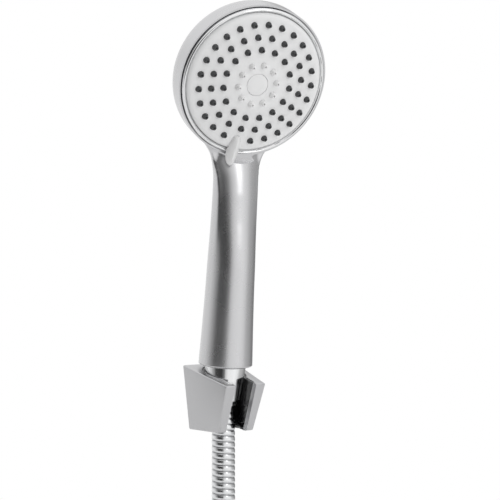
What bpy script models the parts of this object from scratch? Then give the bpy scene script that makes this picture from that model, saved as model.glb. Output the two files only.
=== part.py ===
"""A handheld shower head resting in its wall holder, with its metal hose wound into a tied coil.

Metres, +Z up. The wall is the plane y = 0 and the holder's front faces -Y. Three empties carry the
handset: seat_frame leans with the holder's seat, handset_frame turns in it and is on the handle's axis,
and head_frame has its +Z along the spray. face_frame is the turned spray face inside head_frame.
"""

import math

import bmesh
import bpy
from mathutils import Matrix, Vector

for old_object in list(bpy.data.objects):
    bpy.data.objects.remove(old_object)

MM = 0.001
GAP = 0.3 * MM  # clearance between pieces that touch

# Hose and its fittings
HOSE_DIAMETER = 14.0 * MM
HOSE_RADIUS = HOSE_DIAMETER / 2
FERRULE_WALL = 0.9 * MM
FERRULE_RADIUS = HOSE_RADIUS + GAP + FERRULE_WALL
FERRULE_LENGTH = 9.0 * MM
THREAD_RADIUS = 10.3 * MM  # G1/2
THREAD_PITCH = 1.814 * MM
THREAD_DEPTH = 0.9 * MM
THREAD_LENGTH = 10.0 * MM
WATERWAY_RADIUS = 4.5 * MM
WASHER_THICKNESS = 1.8 * MM
FLANGE_THICKNESS = 2.0 * MM
FLANGE_HOLD = 0.6 * MM  # flange's hold on the cone nut's lip
FLANGE_RADIUS = max(THREAD_RADIUS - THREAD_DEPTH - GAP, FERRULE_RADIUS + GAP + FLANGE_HOLD)
FLANGE_ROOM = FLANGE_RADIUS + GAP
NUT_WALL = 1.6 * MM
NUT_BORE = max(THREAD_RADIUS + GAP, FLANGE_ROOM)
NUT_TOP_RADIUS = NUT_BORE + NUT_WALL
NUT_LENGTH = 21.0 * MM
NUT_SHOULDER = THREAD_LENGTH + WASHER_THICKNESS + FLANGE_THICKNESS + 4 * GAP  # depth of the lip's inside
NUT_THIN_WALL = 0.8 * MM  # round the flange
NUT_LIP = 1.1 * MM
# The cone narrows as far as the lip lets it, or the wall round the flange if that stops it sooner
narrowest = NUT_TOP_RADIUS - (NUT_TOP_RADIUS - FLANGE_ROOM - NUT_THIN_WALL) * NUT_LENGTH / NUT_SHOULDER
NUT_BOTTOM_RADIUS = max(FERRULE_RADIUS + GAP + NUT_LIP, narrowest)
TAIL_LENGTH = 4.2 * MM  # past the flange, where the hose is pushed on

# Wall holder
HOLDER_HEIGHT = 38.7 * MM
SIDE_WALL = 5.5 * MM  # metal beside the liner, at the rear
BACK_WALL = 2.9 * MM  # metal behind the liner
FRONT_REACH = 8.0 * MM  # from the cone nut to the front's top edge
LINER_WALL = 1.0 * MM
HOLDER_TOP_SLOPE = math.radians(15.6)
HOLDER_NARROWING_FRONT = 4.7 * MM  # each side, rear edge to front edge
HOLDER_NARROWING_DOWN = 4.6 * MM  # each side, top to bottom
FRONT_RAKE = 9.7 * MM  # how much further out the front stands at the top
FRONT_LIP = 3.4 * MM  # metal in front of the liner's ends
SLOT_CLEARANCE = 0.65 * MM
HOLDER_EDGE_BEVEL = 0.7 * MM
WALL_CLEARANCE = 0.75 * MM  # from the handle's end to the wall
SEAT_HEIGHT = 0.36 * MM  # handle's end over the holder's rear top edge
SCREW_RADIUS = 1.8 * MM
SCREW_HEAD_RADIUS = 3.5 * MM
SCREW_HEAD_DEPTH = 1.9 * MM
SCREW_HEAD_RIM = 0.4 * MM
SCREW_SLOT_HALF = 0.4 * MM
SCREW_SPACING = 20.0 * MM

# Handset
HANDLE_WALL = 4.7 * MM  # round the inlet nipple
NIPPLE_WALL = 0.7 * MM  # nipple's body over its thread
NIPPLE_RADIUS = THREAD_RADIUS + NIPPLE_WALL
NIPPLE_DEPTH = 13.0 * MM
HANDLE_END_RADIUS = NIPPLE_RADIUS + GAP + HANDLE_WALL
HANDLE_BORE = 9.0 * MM
TUBE_RADIUS = 4.5 * MM
TUBE_BORE = 3.2 * MM
HANDLE_TILT = math.radians(5.45)
HANDSET_TURN = math.radians(-13.9)
FACE_TILT = math.radians(17.2)  # spray direction, below square to the handle
HEAD_RADIUS = 45.4 * MM
HEAD_REACH = 167.8 * MM  # rim centre, along the handle
HEAD_LIP_FORWARD = 2.975 * MM  # lip's lowest point, in front of the handle's axis
HEAD_OFFSET = HEAD_LIP_FORWARD + HEAD_RADIUS * math.sin(FACE_TILT)
HEAD_SIDE = 8.5 * MM  # straight side of the bowl
HEAD_BACK = 23.4 * MM  # depth of the bowl
HEAD_FLOOR = 8.9 * MM  # thickness of the bowl's back, at its middle
HEAD_WALL = 2.6 * MM
LIP_WIDTH = 1.3 * MM

# Spray face
FACE_TURN = math.radians(-9.3)
CLICK_STEP = math.radians(30)
RIM_RADIUS = HEAD_RADIUS - LIP_WIDTH - GAP
RIM_WIDTH = 2.2 * MM
RIM_HEIGHT = 2.4 * MM
PLATE_RADIUS = RIM_RADIUS - RIM_WIDTH - GAP
PLATE_THICKNESS = 1.8 * MM
PLATE_CROWN = 6.7 * MM  # height of the plate's middle over the shell's lip
PLATE_DOME = 3.4 * MM  # drop from the middle to the start of its rounded border
EDGE_WIDTH = 2.6 * MM  # rounded border of the plate
EDGE_DROP = 1.2 * MM
EDGE_START = PLATE_RADIUS - EDGE_WIDTH
RING_INSET = 3.8 * MM  # outer ring of nozzles, inside the plate's border
RING_STEP = 7.17 * MM
OUTER_RING = EDGE_START - RING_INSET
MIDDLE_RING = OUTER_RING - RING_STEP
INNER_RING = MIDDLE_RING - RING_STEP
MASSAGE_RING = 11.75 * MM
RINGS = ((OUTER_RING, 25), (MIDDLE_RING, 20), (INNER_RING, 15))
MASSAGE_COUNT = 10
NOZZLE_BASE = 1.8 * MM
NOZZLE_TIP = 1.1 * MM
NOZZLE_STEP = 0.2 * MM  # straight part that stands over the plate
NOZZLE_HEIGHT = 2.4 * MM
MASSAGE_BASE = 1.7 * MM
MASSAGE_TIP = 0.95 * MM
MASSAGE_STEP = 0.8 * MM
MASSAGE_HEIGHT = 3.15 * MM
MAT_THICKNESS = 1.0 * MM
INSERT_RADIUS = 16.4 * MM
CAP_RADIUS = 6.4 * MM
CAP_THICKNESS = 1.3 * MM
SCREW_M4_RADIUS = 2.0 * MM
SCREW_M4_HEAD = 4.1 * MM
SCREW_M4_TIP = -8.5 * MM
SCREW_HEAD_ROOM = 2.6 * MM  # recess for the screw's head, under the cap
HUB_RADIUS = 7.5 * MM
DIVERTER_BACK = -6.6 * MM
DIVERTER_THICKNESS = 3.0 * MM
CHAMBER_FRONT = -9.0 * MM
BOSS_RADIUS = 6.0 * MM
BOSS_TOP = 0.6 * MM
PORT_RING = 26.0 * MM
PORT_RADIUS = 2.6 * MM
SEAL_RADIUS = 4.5 * MM
SEAL_BACK = -9.4 * MM
PIN_RADIUS = 1.8 * MM
PIN_BACK = -9.6 * MM
PIN_TRAVEL = 0.9 * MM
PIN_POCKET_FLOOR = -13.2 * MM
TRACK_DEPTH = 0.8 * MM  # groove in the diverter plate that the pin's tip runs in
NOTCH_DEPTH = 1.4 * MM
SEAL_POCKET_FLOOR = -12.2 * MM
SEAL_WIRE = 1.2 * MM
TAB_OVERHANG = 6.6 * MM  # lever's tip beyond the rim
TAB_INSET = 2.6 * MM  # lever's root inside the outer ring
TAB_HALF_WIDTH = 3.5 * MM
TAB_RISE = 4.4 * MM
TAB_LIFT = 0.36  # slope of its underside past the rim, clear of the neck
PEG_HALF = 1.5 * MM

# Hose coil
COIL_RADIUS = 70.6 * MM
COIL_CENTRE_Z = -176.0 * MM
COIL_LAYERS = 3.1
COIL_SPACING = 0.6 * MM  # between one turn and the next
COIL_PITCH = HOSE_DIAMETER + COIL_SPACING
LEAST_END = 46.0 * MM  # from the coil's top to the end fitting
TIE_THICKNESS = 1.2 * MM
TIE_WIDTH = 9.0 * MM

# Where the seat's axis crosses the plane of the handle's end, from the wall and from mid holder.
# The seat stands off the wall by what the handle needs, or by what the bore needs at its top or bottom.
HALF_HEIGHT = HOLDER_HEIGHT / 2
BORE_RADIUS = NUT_TOP_RADIUS + GAP + LINER_WALL + GAP
LOW_BORE_RADIUS = NUT_BOTTOM_RADIUS + GAP + LINER_WALL + GAP
LEAN_BACK = NUT_LENGTH * math.sin(HANDLE_TILT)  # how much nearer the wall the cone nut's lower end is
SEAT_Y = -max(
    HANDLE_END_RADIUS + WALL_CLEARANCE,
    BORE_RADIUS + BACK_WALL,
    LOW_BORE_RADIUS + LEAN_BACK + BACK_WALL,
)
SEAT_Z = HALF_HEIGHT + SEAT_HEIGHT
SEAT_AXIS = Vector((0, -math.sin(HANDLE_TILT), math.cos(HANDLE_TILT)))
SEAT_POINT = Vector((0, SEAT_Y, SEAT_Z))
NUT_END_POINT = SEAT_POINT - SEAT_AXIS * NUT_LENGTH
HOSE_Y = NUT_END_POINT.y

COLOURS = {
    "satin_nickel": ((0.58, 0.58, 0.59), 0.32, 1.0),
    "polished_chrome": ((0.80, 0.81, 0.82), 0.08, 1.0),
    "pale_plastic": ((0.80, 0.80, 0.81), 0.35, 0.0),
    "white_plastic": ((0.90, 0.90, 0.90), 0.30, 0.0),
    "grey_silicone": ((0.06, 0.065, 0.07), 0.55, 0.0),
    "black_plastic": ((0.012, 0.012, 0.013), 0.15, 0.0),
    "natural_plastic": ((0.66, 0.65, 0.60), 0.45, 0.0),
    "black_rubber": ((0.02, 0.02, 0.02), 0.70, 0.0),
    "stainless_steel": ((0.62, 0.62, 0.63), 0.25, 1.0),
    "brass": ((0.78, 0.60, 0.30), 0.30, 1.0),
    "tie_rubber": ((0.10, 0.10, 0.11), 0.60, 0.0),
}


def material(name):
    found = bpy.data.materials.get(name)
    if found:
        return found
    colour, roughness, metallic = COLOURS[name]
    found = bpy.data.materials.new(name)
    found.use_nodes = True
    found.diffuse_color = (*colour, 1)
    shader = found.node_tree.nodes["Principled BSDF"]
    shader.inputs["Base Color"].default_value = (*colour, 1)
    shader.inputs["Roughness"].default_value = roughness
    shader.inputs["Metallic"].default_value = metallic
    return found


def empty(name, parent=None, location=(0, 0, 0), rotation=(0, 0, 0)):
    made = bpy.data.objects.new(name, None)
    made.empty_display_size = 0.01
    bpy.context.scene.collection.objects.link(made)
    made.parent = parent
    made.location = location
    made.rotation_euler = rotation
    return made


def place(name, mesh, finish, parent=None, location=(0, 0, 0), rotation=(0, 0, 0), sharp=35):
    """An object of this mesh, shaded smooth up to an edge angle. With no finish it is a hidden cutter."""
    made = bpy.data.objects.new(name, mesh)
    bpy.context.scene.collection.objects.link(made)
    made.parent = parent
    made.location = location
    made.rotation_euler = rotation
    if finish:
        mesh.materials.append(material(finish))
        mesh.shade_smooth()
        mesh.set_sharp_from_angle(angle=math.radians(sharp))
    else:
        made.hide_render = True
        made.display_type = "WIRE"
    return made


def mesh_from(bm, name):
    bmesh.ops.remove_doubles(bm, verts=bm.verts, dist=1e-6)
    bmesh.ops.recalc_face_normals(bm, faces=bm.faces)
    mesh = bpy.data.meshes.new(name)
    bm.to_mesh(mesh)
    bm.free()
    return mesh


def turned(name, profile, steps=32):
    """A closed outline of (radius, height) points turned about Z. Points on the axis close by themselves."""
    bm = bmesh.new()
    points = [bm.verts.new((radius, 0, height)) for radius, height in profile]
    edges = [bm.edges.new(pair) for pair in zip(points, points[1:])]
    if profile[0][0] > 0 or profile[-1][0] > 0:
        edges.append(bm.edges.new((points[-1], points[0])))
    bmesh.ops.spin(
        bm,
        geom=points + edges,
        axis=(0, 0, 1),
        cent=(0, 0, 0),
        angle=math.tau,
        steps=steps,
        use_merge=True,
    )
    return mesh_from(bm, name)


def lofted(name, rings):
    """A closed body through rings of equally many points, capped at both ends."""
    bm = bmesh.new()
    rows = [[bm.verts.new(point) for point in ring] for ring in rings]
    for low, high in zip(rows, rows[1:]):
        for i in range(len(low)):
            j = (i + 1) % len(low)
            bm.faces.new((low[i], low[j], high[j], high[i]))
    bm.faces.new(rows[0])
    bm.faces.new(rows[-1])
    return mesh_from(bm, name)


def hull(name, corners):
    bm = bmesh.new()
    points = [bm.verts.new(corner) for corner in corners]
    bmesh.ops.convex_hull(bm, input=points)
    bmesh.ops.dissolve_limit(bm, angle_limit=0.001, verts=bm.verts, edges=bm.edges)
    return mesh_from(bm, name)


def box(name, low, high):
    corners = [(x, y, z) for x in (low[0], high[0]) for y in (low[1], high[1]) for z in (low[2], high[2])]
    return hull(name, corners)


def circle(centre, radius, count=24, normal=(0, 0, 1)):
    """Points of a circle about a centre, square to a direction."""
    turn = Vector((0, 0, 1)).rotation_difference(Vector(normal)).to_matrix()
    angles = [math.tau * i / count for i in range(count)]
    flat = [Vector((radius * math.cos(a), radius * math.sin(a), 0)) for a in angles]
    return [Vector(centre) + turn @ point for point in flat]


def pipe(name, stations, count=20):
    """A round bar through (centre, radius) stations, its rings square to the path."""
    path = [Vector(centre) for centre, radius in stations]
    rings = []
    for i, (centre, radius) in enumerate(stations):
        ahead = path[min(i + 1, len(path) - 1)] - path[max(i - 1, 0)]
        rings.append(circle(centre, radius, count, ahead))
    return lofted(name, rings)


def boolean(target, cutter, operation="DIFFERENCE"):
    cut = target.modifiers.new(operation.title() + "_" + cutter.name, "BOOLEAN")
    cut.operation = operation
    cut.solver = "EXACT"
    cut.object = cutter


def bevel(target, width, segments=2, angle=30):
    edge = target.modifiers.new("Edges", "BEVEL")
    edge.width = width
    edge.segments = segments
    edge.limit_method = "ANGLE"
    edge.angle_limit = math.radians(angle)


seat_frame = empty("seat_frame", None, SEAT_POINT, (HANDLE_TILT, 0, 0))
handset_frame = empty("handset_frame", seat_frame, (0, 0, 0), (0, 0, HANDSET_TURN))
head_frame = empty(
    "head_frame",
    handset_frame,
    (0, -HEAD_OFFSET, HEAD_REACH),
    (math.pi / 2 + FACE_TILT, 0, 0),
)
face_frame = empty("face_frame", head_frame, (0, 0, 0), (0, 0, FACE_TURN))


# Wall holder: a tapered metal block, slotted in front and bored on a leaning cone.


def nut_radius(depth):
    """The cone nut's radius this far below the handle's end, along the axis."""
    return NUT_TOP_RADIUS - (NUT_TOP_RADIUS - NUT_BOTTOM_RADIUS) * depth / NUT_LENGTH


def seat_rings(extra):
    """Level rings of the seat: a cone that leans with the handle, then a straight bore round the hose."""
    rings = []
    for depth in (-9 * MM, 0, NUT_LENGTH / 2, NUT_LENGTH + 1.5 * MM):
        centre = SEAT_POINT - SEAT_AXIS * depth
        rings.append(circle(centre, nut_radius(min(depth, NUT_LENGTH)) + GAP + extra, 32))
    low_radius = NUT_BOTTOM_RADIUS + GAP + extra
    for z in (-HALF_HEIGHT * 0.5, -HALF_HEIGHT - 4 * MM):
        rings.append(circle((0, HOSE_Y, z), low_radius, 32))
    return rings[::-1]


HOLDER_HALF_WIDTH = BORE_RADIUS + SIDE_WALL
HOLDER_DEPTH = -SEAT_Y + NUT_TOP_RADIUS + FRONT_REACH
FRONT_TOP_Z = HALF_HEIGHT - HOLDER_DEPTH * math.tan(HOLDER_TOP_SLOPE)


def holder_half_width(y, z):
    """Half the block's width at a distance -y from the wall and a height z."""
    down = (HALF_HEIGHT - z) / HOLDER_HEIGHT
    at_rear = HOLDER_HALF_WIDTH - HOLDER_NARROWING_DOWN * down
    return at_rear - HOLDER_NARROWING_FRONT * (1 - 0.45 * down) * -y / HOLDER_DEPTH


def holder_front(z):
    """The raked front face's y at a height z."""
    return -HOLDER_DEPTH + FRONT_RAKE * (FRONT_TOP_Z - z) / (FRONT_TOP_Z + HALF_HEIGHT)


def holder_block(name, inset=0.0):
    """The block's outline, or one drawn in by an inset at the top and bottom."""
    bottom = -HALF_HEIGHT + inset
    top_y = holder_front(FRONT_TOP_Z)
    bottom_y = holder_front(-HALF_HEIGHT)
    corners = []
    for side in (-1, 1):
        corners.append((side * holder_half_width(0, HALF_HEIGHT), 0, HALF_HEIGHT - inset))
        corners.append((side * holder_half_width(0, -HALF_HEIGHT), 0, bottom))
        corners.append((side * holder_half_width(top_y, HALF_HEIGHT), top_y, FRONT_TOP_Z - inset))
        corners.append((side * holder_half_width(bottom_y, -HALF_HEIGHT), bottom_y, bottom))
    return hull(name, corners)


def slot_cutter(name, half_width, front_lip):
    """A slab that opens the bore to the front, stopping front_lip short of the raked front face."""
    reach = 6 * MM
    corners = []
    for side in (-1, 1):
        for z in (-HALF_HEIGHT - reach, HALF_HEIGHT + reach):
            corners.append((side * half_width, SEAT_Y + 2 * MM, z))
            corners.append((side * half_width, holder_front(z) + front_lip, z))
    return hull(name, corners)


SLOT_HALF = HOSE_RADIUS + SLOT_CLEARANCE
OPEN_FRONT = -5 * MM  # a cutter that runs out through the front

holder_body = place("holder_body", holder_block("holder_body"), "satin_nickel")
bevel(holder_body, HOLDER_EDGE_BEVEL)
bore_cutter = place("bore_cutter", lofted("bore_cutter", seat_rings(LINER_WALL + GAP)), None)
boolean(holder_body, bore_cutter)
lined_half = SLOT_HALF + LINER_WALL + GAP
lined_slot = place("lined_slot", slot_cutter("lined_slot", lined_half, FRONT_LIP), None)
boolean(holder_body, lined_slot)
open_slot = place("open_slot", slot_cutter("open_slot", SLOT_HALF, OPEN_FRONT), None)
boolean(holder_body, open_slot)


SCREW_TOP = BACK_WALL - GAP  # screw heads stay under the liner
WALL_SIDE = (math.pi / 2, 0, 0)  # turns +Z to -Y, away from the wall


def screw_outline(extra, top, tip):
    """A countersunk wall screw, or with extra clearance its hole. Heights are from the wall."""
    return [
        (0, top),
        (SCREW_HEAD_RADIUS + extra, top),
        (SCREW_HEAD_RADIUS + extra, SCREW_TOP - SCREW_HEAD_RIM),
        (SCREW_RADIUS + extra, SCREW_TOP - SCREW_HEAD_DEPTH),
        (SCREW_RADIUS + extra, tip),
        (0, tip),
    ]


for label, height in (("upper", SCREW_SPACING / 2), ("lower", -SCREW_SPACING / 2)):
    spot = (0, 0, height)
    hole_mesh = turned("screw_hole_" + label, screw_outline(GAP, BACK_WALL * 4, -BACK_WALL), 16)
    boolean(holder_body, place("screw_hole_" + label, hole_mesh, None, None, spot, WALL_SIDE))
    screw_name = "fixing_screw_" + label
    screw_mesh = turned(screw_name, screw_outline(0, SCREW_TOP, GAP), 16)
    screw = place(screw_name, screw_mesh, "stainless_steel", None, spot, WALL_SIDE)
    reach = SCREW_HEAD_RADIUS * 0.55
    slot_floor = SCREW_TOP - SCREW_HEAD_DEPTH * 0.6
    slot_mesh = box(
        "screw_slot_" + label,
        (-reach, -SCREW_SLOT_HALF, slot_floor),
        (reach, SCREW_SLOT_HALF, BACK_WALL * 2),
    )
    boolean(screw, place("screw_slot_" + label, slot_mesh, None, None, spot, WALL_SIDE))

# Black liner: the seat's skin, carried forward as two lips that line the slot.
seat_liner = place("seat_liner", lofted("seat_liner", seat_rings(LINER_WALL)), "black_plastic")
liner_lips = place("liner_lips", slot_cutter("liner_lips", SLOT_HALF + LINER_WALL, FRONT_LIP + GAP), None)
boolean(seat_liner, liner_lips, "UNION")
liner_block = place("liner_block", holder_block("liner_block", LINER_WALL / 2), None)
boolean(seat_liner, liner_block, "INTERSECT")
seat_space = place("seat_space", lofted("seat_space", seat_rings(0)), None)
boolean(seat_liner, seat_space)
hose_way = place("hose_way", slot_cutter("hose_way", SLOT_HALF, OPEN_FRONT), None)
boolean(seat_liner, hose_way)


# Handle and head shell: one moulding, the handle flattened in front below the head.

# Height along the handle as a share of the neck's, then half width, depth behind the axis and depth
# of the cut in front of it as shares of the handle's end radius, and how much of the cut is made
HANDLE_SECTIONS = (
    (0.0, 1.0, 1.0, 0.44, 0.0),
    (0.012, 1.0, 1.0, 0.44, 0.0),
    (0.16, 0.955, 0.955, 0.44, 0.0),
    (0.34, 0.91, 0.91, 0.44, 0.0),
    (0.46, 0.89, 0.89, 0.44, 0.0),
    (0.55, 0.87, 0.87, 0.44, 0.16),
    (0.62, 0.855, 0.855, 0.44, 0.42),
    (0.69, 0.845, 0.845, 0.44, 0.72),
    (0.79, 0.8375, 0.8375, 0.42, 0.96),
    (0.88, 0.855, 0.8375, 0.37, 1.0),
    (0.94, 0.94, 0.8375, 0.28, 1.0),
    (0.985, 1.06, 0.83, 0.20, 1.0),
    (1.025, 1.30, 0.80, 0.13, 1.0),
    (1.07, 1.58, 0.78, 0.05, 1.0),
    (1.14, 1.60, 0.72, 0.01, 1.0),
)
NECK_TOP = HEAD_REACH - HEAD_RADIUS * math.cos(FACE_TILT) + 2.6 * MM


# The cut front bulges in its middle. Near the rim more of that bulge lies behind the cut's own depth.
FRONT_CROWN = 0.38  # height of the bulge, as a share of the cut's half width
LOW_CROWN_LEVEL = 0.6  # share of the bulge that stands over the cut's own depth
TOP_CROWN_LEVEL = 0.1
LEVEL_START = 0.80
LEVEL_LENGTH = 0.16


def handle_ring(section, count=32):
    """One level ring: an oval whose front is cut to a low crown, as far as the section says."""
    share, half_width, back, front, amount = section
    cut_half = HANDLE_END_RADIUS * half_width * math.sqrt(1 - (front / back) ** 2)
    change = min(1.0, max(0.0, (share - LEVEL_START) / LEVEL_LENGTH))
    level = LOW_CROWN_LEVEL + (TOP_CROWN_LEVEL - LOW_CROWN_LEVEL) * change
    ring = []
    for i in range(count):
        angle = math.tau * (i + 0.5) / count
        x = HANDLE_END_RADIUS * half_width * math.sin(angle)
        y = HANDLE_END_RADIUS * back * math.cos(angle)
        bulge = cut_half * FRONT_CROWN * (level - min(1.0, abs(x) / cut_half) ** 2)
        cut_y = max(y, min(0.0, -HANDLE_END_RADIUS * front - bulge))
        ring.append((x, y + (cut_y - y) * amount, share * NECK_TOP))
    return ring


shell_rings = [handle_ring(section) for section in HANDLE_SECTIONS]
handset_shell = place("handset_shell", lofted("handset_shell", shell_rings), "satin_nickel", handset_frame)

bowl_profile = [
    (0, -HEAD_BACK),
    (HEAD_RADIUS * 0.30, -HEAD_BACK + 0.4 * MM),
    (HEAD_RADIUS * 0.56, -HEAD_BACK + 1.6 * MM),
    (HEAD_RADIUS * 0.78, -HEAD_BACK + 3.9 * MM),
    (HEAD_RADIUS * 0.92, -HEAD_BACK + 6.9 * MM),
    (HEAD_RADIUS * 0.98, -HEAD_SIDE - 2.8 * MM),
    (HEAD_RADIUS, -HEAD_SIDE),
    (HEAD_RADIUS, -0.6 * MM),
    (HEAD_RADIUS - 0.6 * MM, 0),
    (0, 0),
]
head_bowl = place("head_bowl", turned("head_bowl", bowl_profile, 48), None, head_frame)
boolean(handset_shell, head_bowl, "UNION")

FLOOR = -HEAD_BACK + HEAD_FLOOR
FLOOR_CHAMFER = 2.4 * MM
LIP_DEPTH = 4.0 * MM  # thin lip that the rim's skirt turns in
CAVITY_TOP = 12.0 * MM  # clear of everything in the head
CHAMBER_RADIUS = HEAD_RADIUS - HEAD_WALL - GAP
cavity_profile = [
    (0, FLOOR),
    (CHAMBER_RADIUS + GAP - FLOOR_CHAMFER, FLOOR),
    (CHAMBER_RADIUS + GAP, FLOOR + FLOOR_CHAMFER),
    (CHAMBER_RADIUS + GAP, -LIP_DEPTH),
    (HEAD_RADIUS - LIP_WIDTH, -LIP_DEPTH),
    (HEAD_RADIUS - LIP_WIDTH, CAVITY_TOP),
    (0, CAVITY_TOP),
]
head_cavity = place("head_cavity", turned("head_cavity", cavity_profile, 48), None, head_frame)
boolean(handset_shell, head_cavity)

# The way for the water tube: up the handle, behind the flattened neck, then into the head. Points are
# (0, distance behind the axis, height).
STUB_RADIUS = 4.2 * MM
STUB_NECK = 0.9 * MM  # how much the stub thins inside the head
NECK_LOW = (0, 4.2 * MM, NECK_TOP * 0.985)
NECK_MIDDLE = (0, 6.4 * MM, NECK_TOP * 1.025)
NECK_HIGH = (0, 6.9 * MM, NECK_TOP * 1.065)
HANDLE_MIDDLE = (0, 0, NECK_TOP * 0.45)
HANDLE_BEND = (0, 2.0 * MM, NECK_TOP * 0.72)
neck_bore = TUBE_RADIUS + 2 * GAP
bore_path = [
    ((0, 0, -2 * MM), NIPPLE_RADIUS + GAP),
    ((0, 0, NIPPLE_DEPTH), NIPPLE_RADIUS + GAP),
    ((0, 0, NIPPLE_DEPTH + 1 * MM), HANDLE_BORE),
    (HANDLE_MIDDLE, HANDLE_BORE),
    (HANDLE_BEND, HANDLE_BORE * 0.7),
    (NECK_LOW, neck_bore),
    (NECK_MIDDLE, neck_bore),
    (NECK_HIGH, neck_bore),
    ((0, 6.5 * MM, NECK_TOP * 1.10), neck_bore),
]
handle_bore = place("handle_bore", pipe("handle_bore", bore_path, 24), None, handset_frame)
boolean(handset_shell, handle_bore)

# Water tube from the inlet to the head
TUBE_START = NIPPLE_DEPTH / 2
tube_path = [(0, 0, TUBE_START), HANDLE_MIDDLE, HANDLE_BEND, NECK_LOW]
tube_mesh = pipe("water_tube", [(point, TUBE_RADIUS) for point in tube_path], 20)
water_tube = place("water_tube", tube_mesh, "natural_plastic", handset_frame)
tube_hole_path = [(0, 0, -1 * MM), *tube_path, (0, 4.6 * MM, NECK_TOP * 1.01)]
tube_hole_mesh = pipe("tube_hole", [(point, TUBE_BORE) for point in tube_hole_path], 16)
boolean(water_tube, place("tube_hole", tube_hole_mesh, None, handset_frame))

# Inlet nipple: glued into the handle's end, with the outside thread that the hose's nut screws on
NIPPLE_BORE = THREAD_RADIUS - THREAD_DEPTH - 2.9 * MM
NIPPLE_STEP = 4.0 * MM  # where the wide bore starts to close in on the tube
nipple_profile = [
    (TUBE_RADIUS + GAP, NIPPLE_DEPTH - GAP),
    (NIPPLE_RADIUS, NIPPLE_DEPTH - GAP),
    (NIPPLE_RADIUS, GAP),
    (THREAD_RADIUS, GAP),
]
thread_turns = int((THREAD_LENGTH - THREAD_PITCH / 2) / THREAD_PITCH)
for turn in range(thread_turns):
    crest = -THREAD_PITCH / 2 - turn * THREAD_PITCH
    nipple_profile.append((THREAD_RADIUS, crest))
    nipple_profile.append((THREAD_RADIUS - THREAD_DEPTH, crest - THREAD_PITCH / 2))
nipple_profile.append((THREAD_RADIUS - THREAD_DEPTH, -THREAD_LENGTH))
nipple_profile.append((NIPPLE_BORE, -THREAD_LENGTH))
nipple_profile.append((NIPPLE_BORE, NIPPLE_STEP))
nipple_profile.append((TUBE_RADIUS + GAP, NIPPLE_STEP + 2.0 * MM))
place("inlet_nipple", turned("inlet_nipple", nipple_profile, 24), "brass", handset_frame)


# Inside the head: the fixed chamber brings water to one port, and a click pin holds the setting.
chamber_profile = [
    (0, FLOOR + GAP),
    (CHAMBER_RADIUS - FLOOR_CHAMFER - GAP, FLOOR + GAP),
    (CHAMBER_RADIUS, FLOOR + FLOOR_CHAMFER + 2 * GAP),
    (CHAMBER_RADIUS, CHAMBER_FRONT),
    (BOSS_RADIUS, CHAMBER_FRONT),
    (BOSS_RADIUS, BOSS_TOP),
    (0, BOSS_TOP),
]
chamber_mesh = turned("water_chamber", chamber_profile, 36)
water_chamber = place("water_chamber", chamber_mesh, "natural_plastic", head_frame)
stub_path = [
    ((0, 3.87 * MM, NECK_TOP * 0.945), TUBE_BORE - GAP),
    ((0, 4.24 * MM, NECK_TOP * 0.991), TUBE_BORE - GAP),
    ((0, 4.27 * MM, NECK_TOP * 0.994), STUB_RADIUS),
    ((0, 4.32 * MM, NECK_TOP * 0.999), STUB_RADIUS),
    ((0, 4.60 * MM, NECK_TOP * 1.006), STUB_RADIUS - STUB_NECK),
    (NECK_MIDDLE, STUB_RADIUS - STUB_NECK),
    (NECK_HIGH, STUB_RADIUS - STUB_NECK),
]
inlet_stub = place("inlet_stub", pipe("inlet_stub", stub_path, 16), None, handset_frame)
boolean(water_chamber, inlet_stub, "UNION")
CHANNEL_RADIUS = 1.9 * MM
channel_points = [(0, 3.8 * MM, NECK_TOP * 0.93), NECK_LOW, NECK_MIDDLE]
channel_points += [(0, 6.5 * MM, NECK_TOP * 1.055), (0, 4.4 * MM, NECK_TOP * 1.11)]
channel_mesh = pipe("water_channel", [(point, CHANNEL_RADIUS) for point in channel_points], 12)
boolean(water_chamber, place("water_channel", channel_mesh, None, handset_frame))


def pocket(name, radius, floor, spot, steps=16):
    """A round pocket in the chamber's front, open towards the spray."""
    outline = [(0, floor), (radius, floor), (radius, CAVITY_TOP), (0, CAVITY_TOP)]
    boolean(water_chamber, place(name, turned(name, outline, steps), None, head_frame, spot))


PORT_SPOT = (0, -PORT_RING, 0)
PIN_SPOT = (0, PORT_RING, 0)
pocket("port_pocket", SEAL_RADIUS + GAP, SEAL_POCKET_FLOOR, PORT_SPOT, 20)
pocket("pin_pocket", PIN_RADIUS + GAP, PIN_POCKET_FLOOR, PIN_SPOT)
pocket("screw_tap", SCREW_M4_RADIUS + GAP, SCREW_M4_TIP - 0.5 * MM, (0, 0, 0))


def spring(name, radius, wire, low, high, turns, place_at):
    """A coil spring: a wire along a helix, computed turn by turn."""
    count = turns * 8
    data = bpy.data.curves.new(name, "CURVE")
    data.dimensions = "3D"
    data.bevel_depth = wire
    data.bevel_resolution = 1
    data.use_fill_caps = True
    line = data.splines.new("POLY")
    line.points.add(count)
    for i, point in enumerate(line.points):
        angle = math.tau * turns * i / count
        height = low + wire + (high - low - 2 * wire) * i / count
        point.co = (radius * math.cos(angle), radius * math.sin(angle), height, 1)
    data.materials.append(material("stainless_steel"))
    made = bpy.data.objects.new(name, data)
    bpy.context.scene.collection.objects.link(made)
    made.parent = head_frame
    made.location = place_at
    return made


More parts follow.
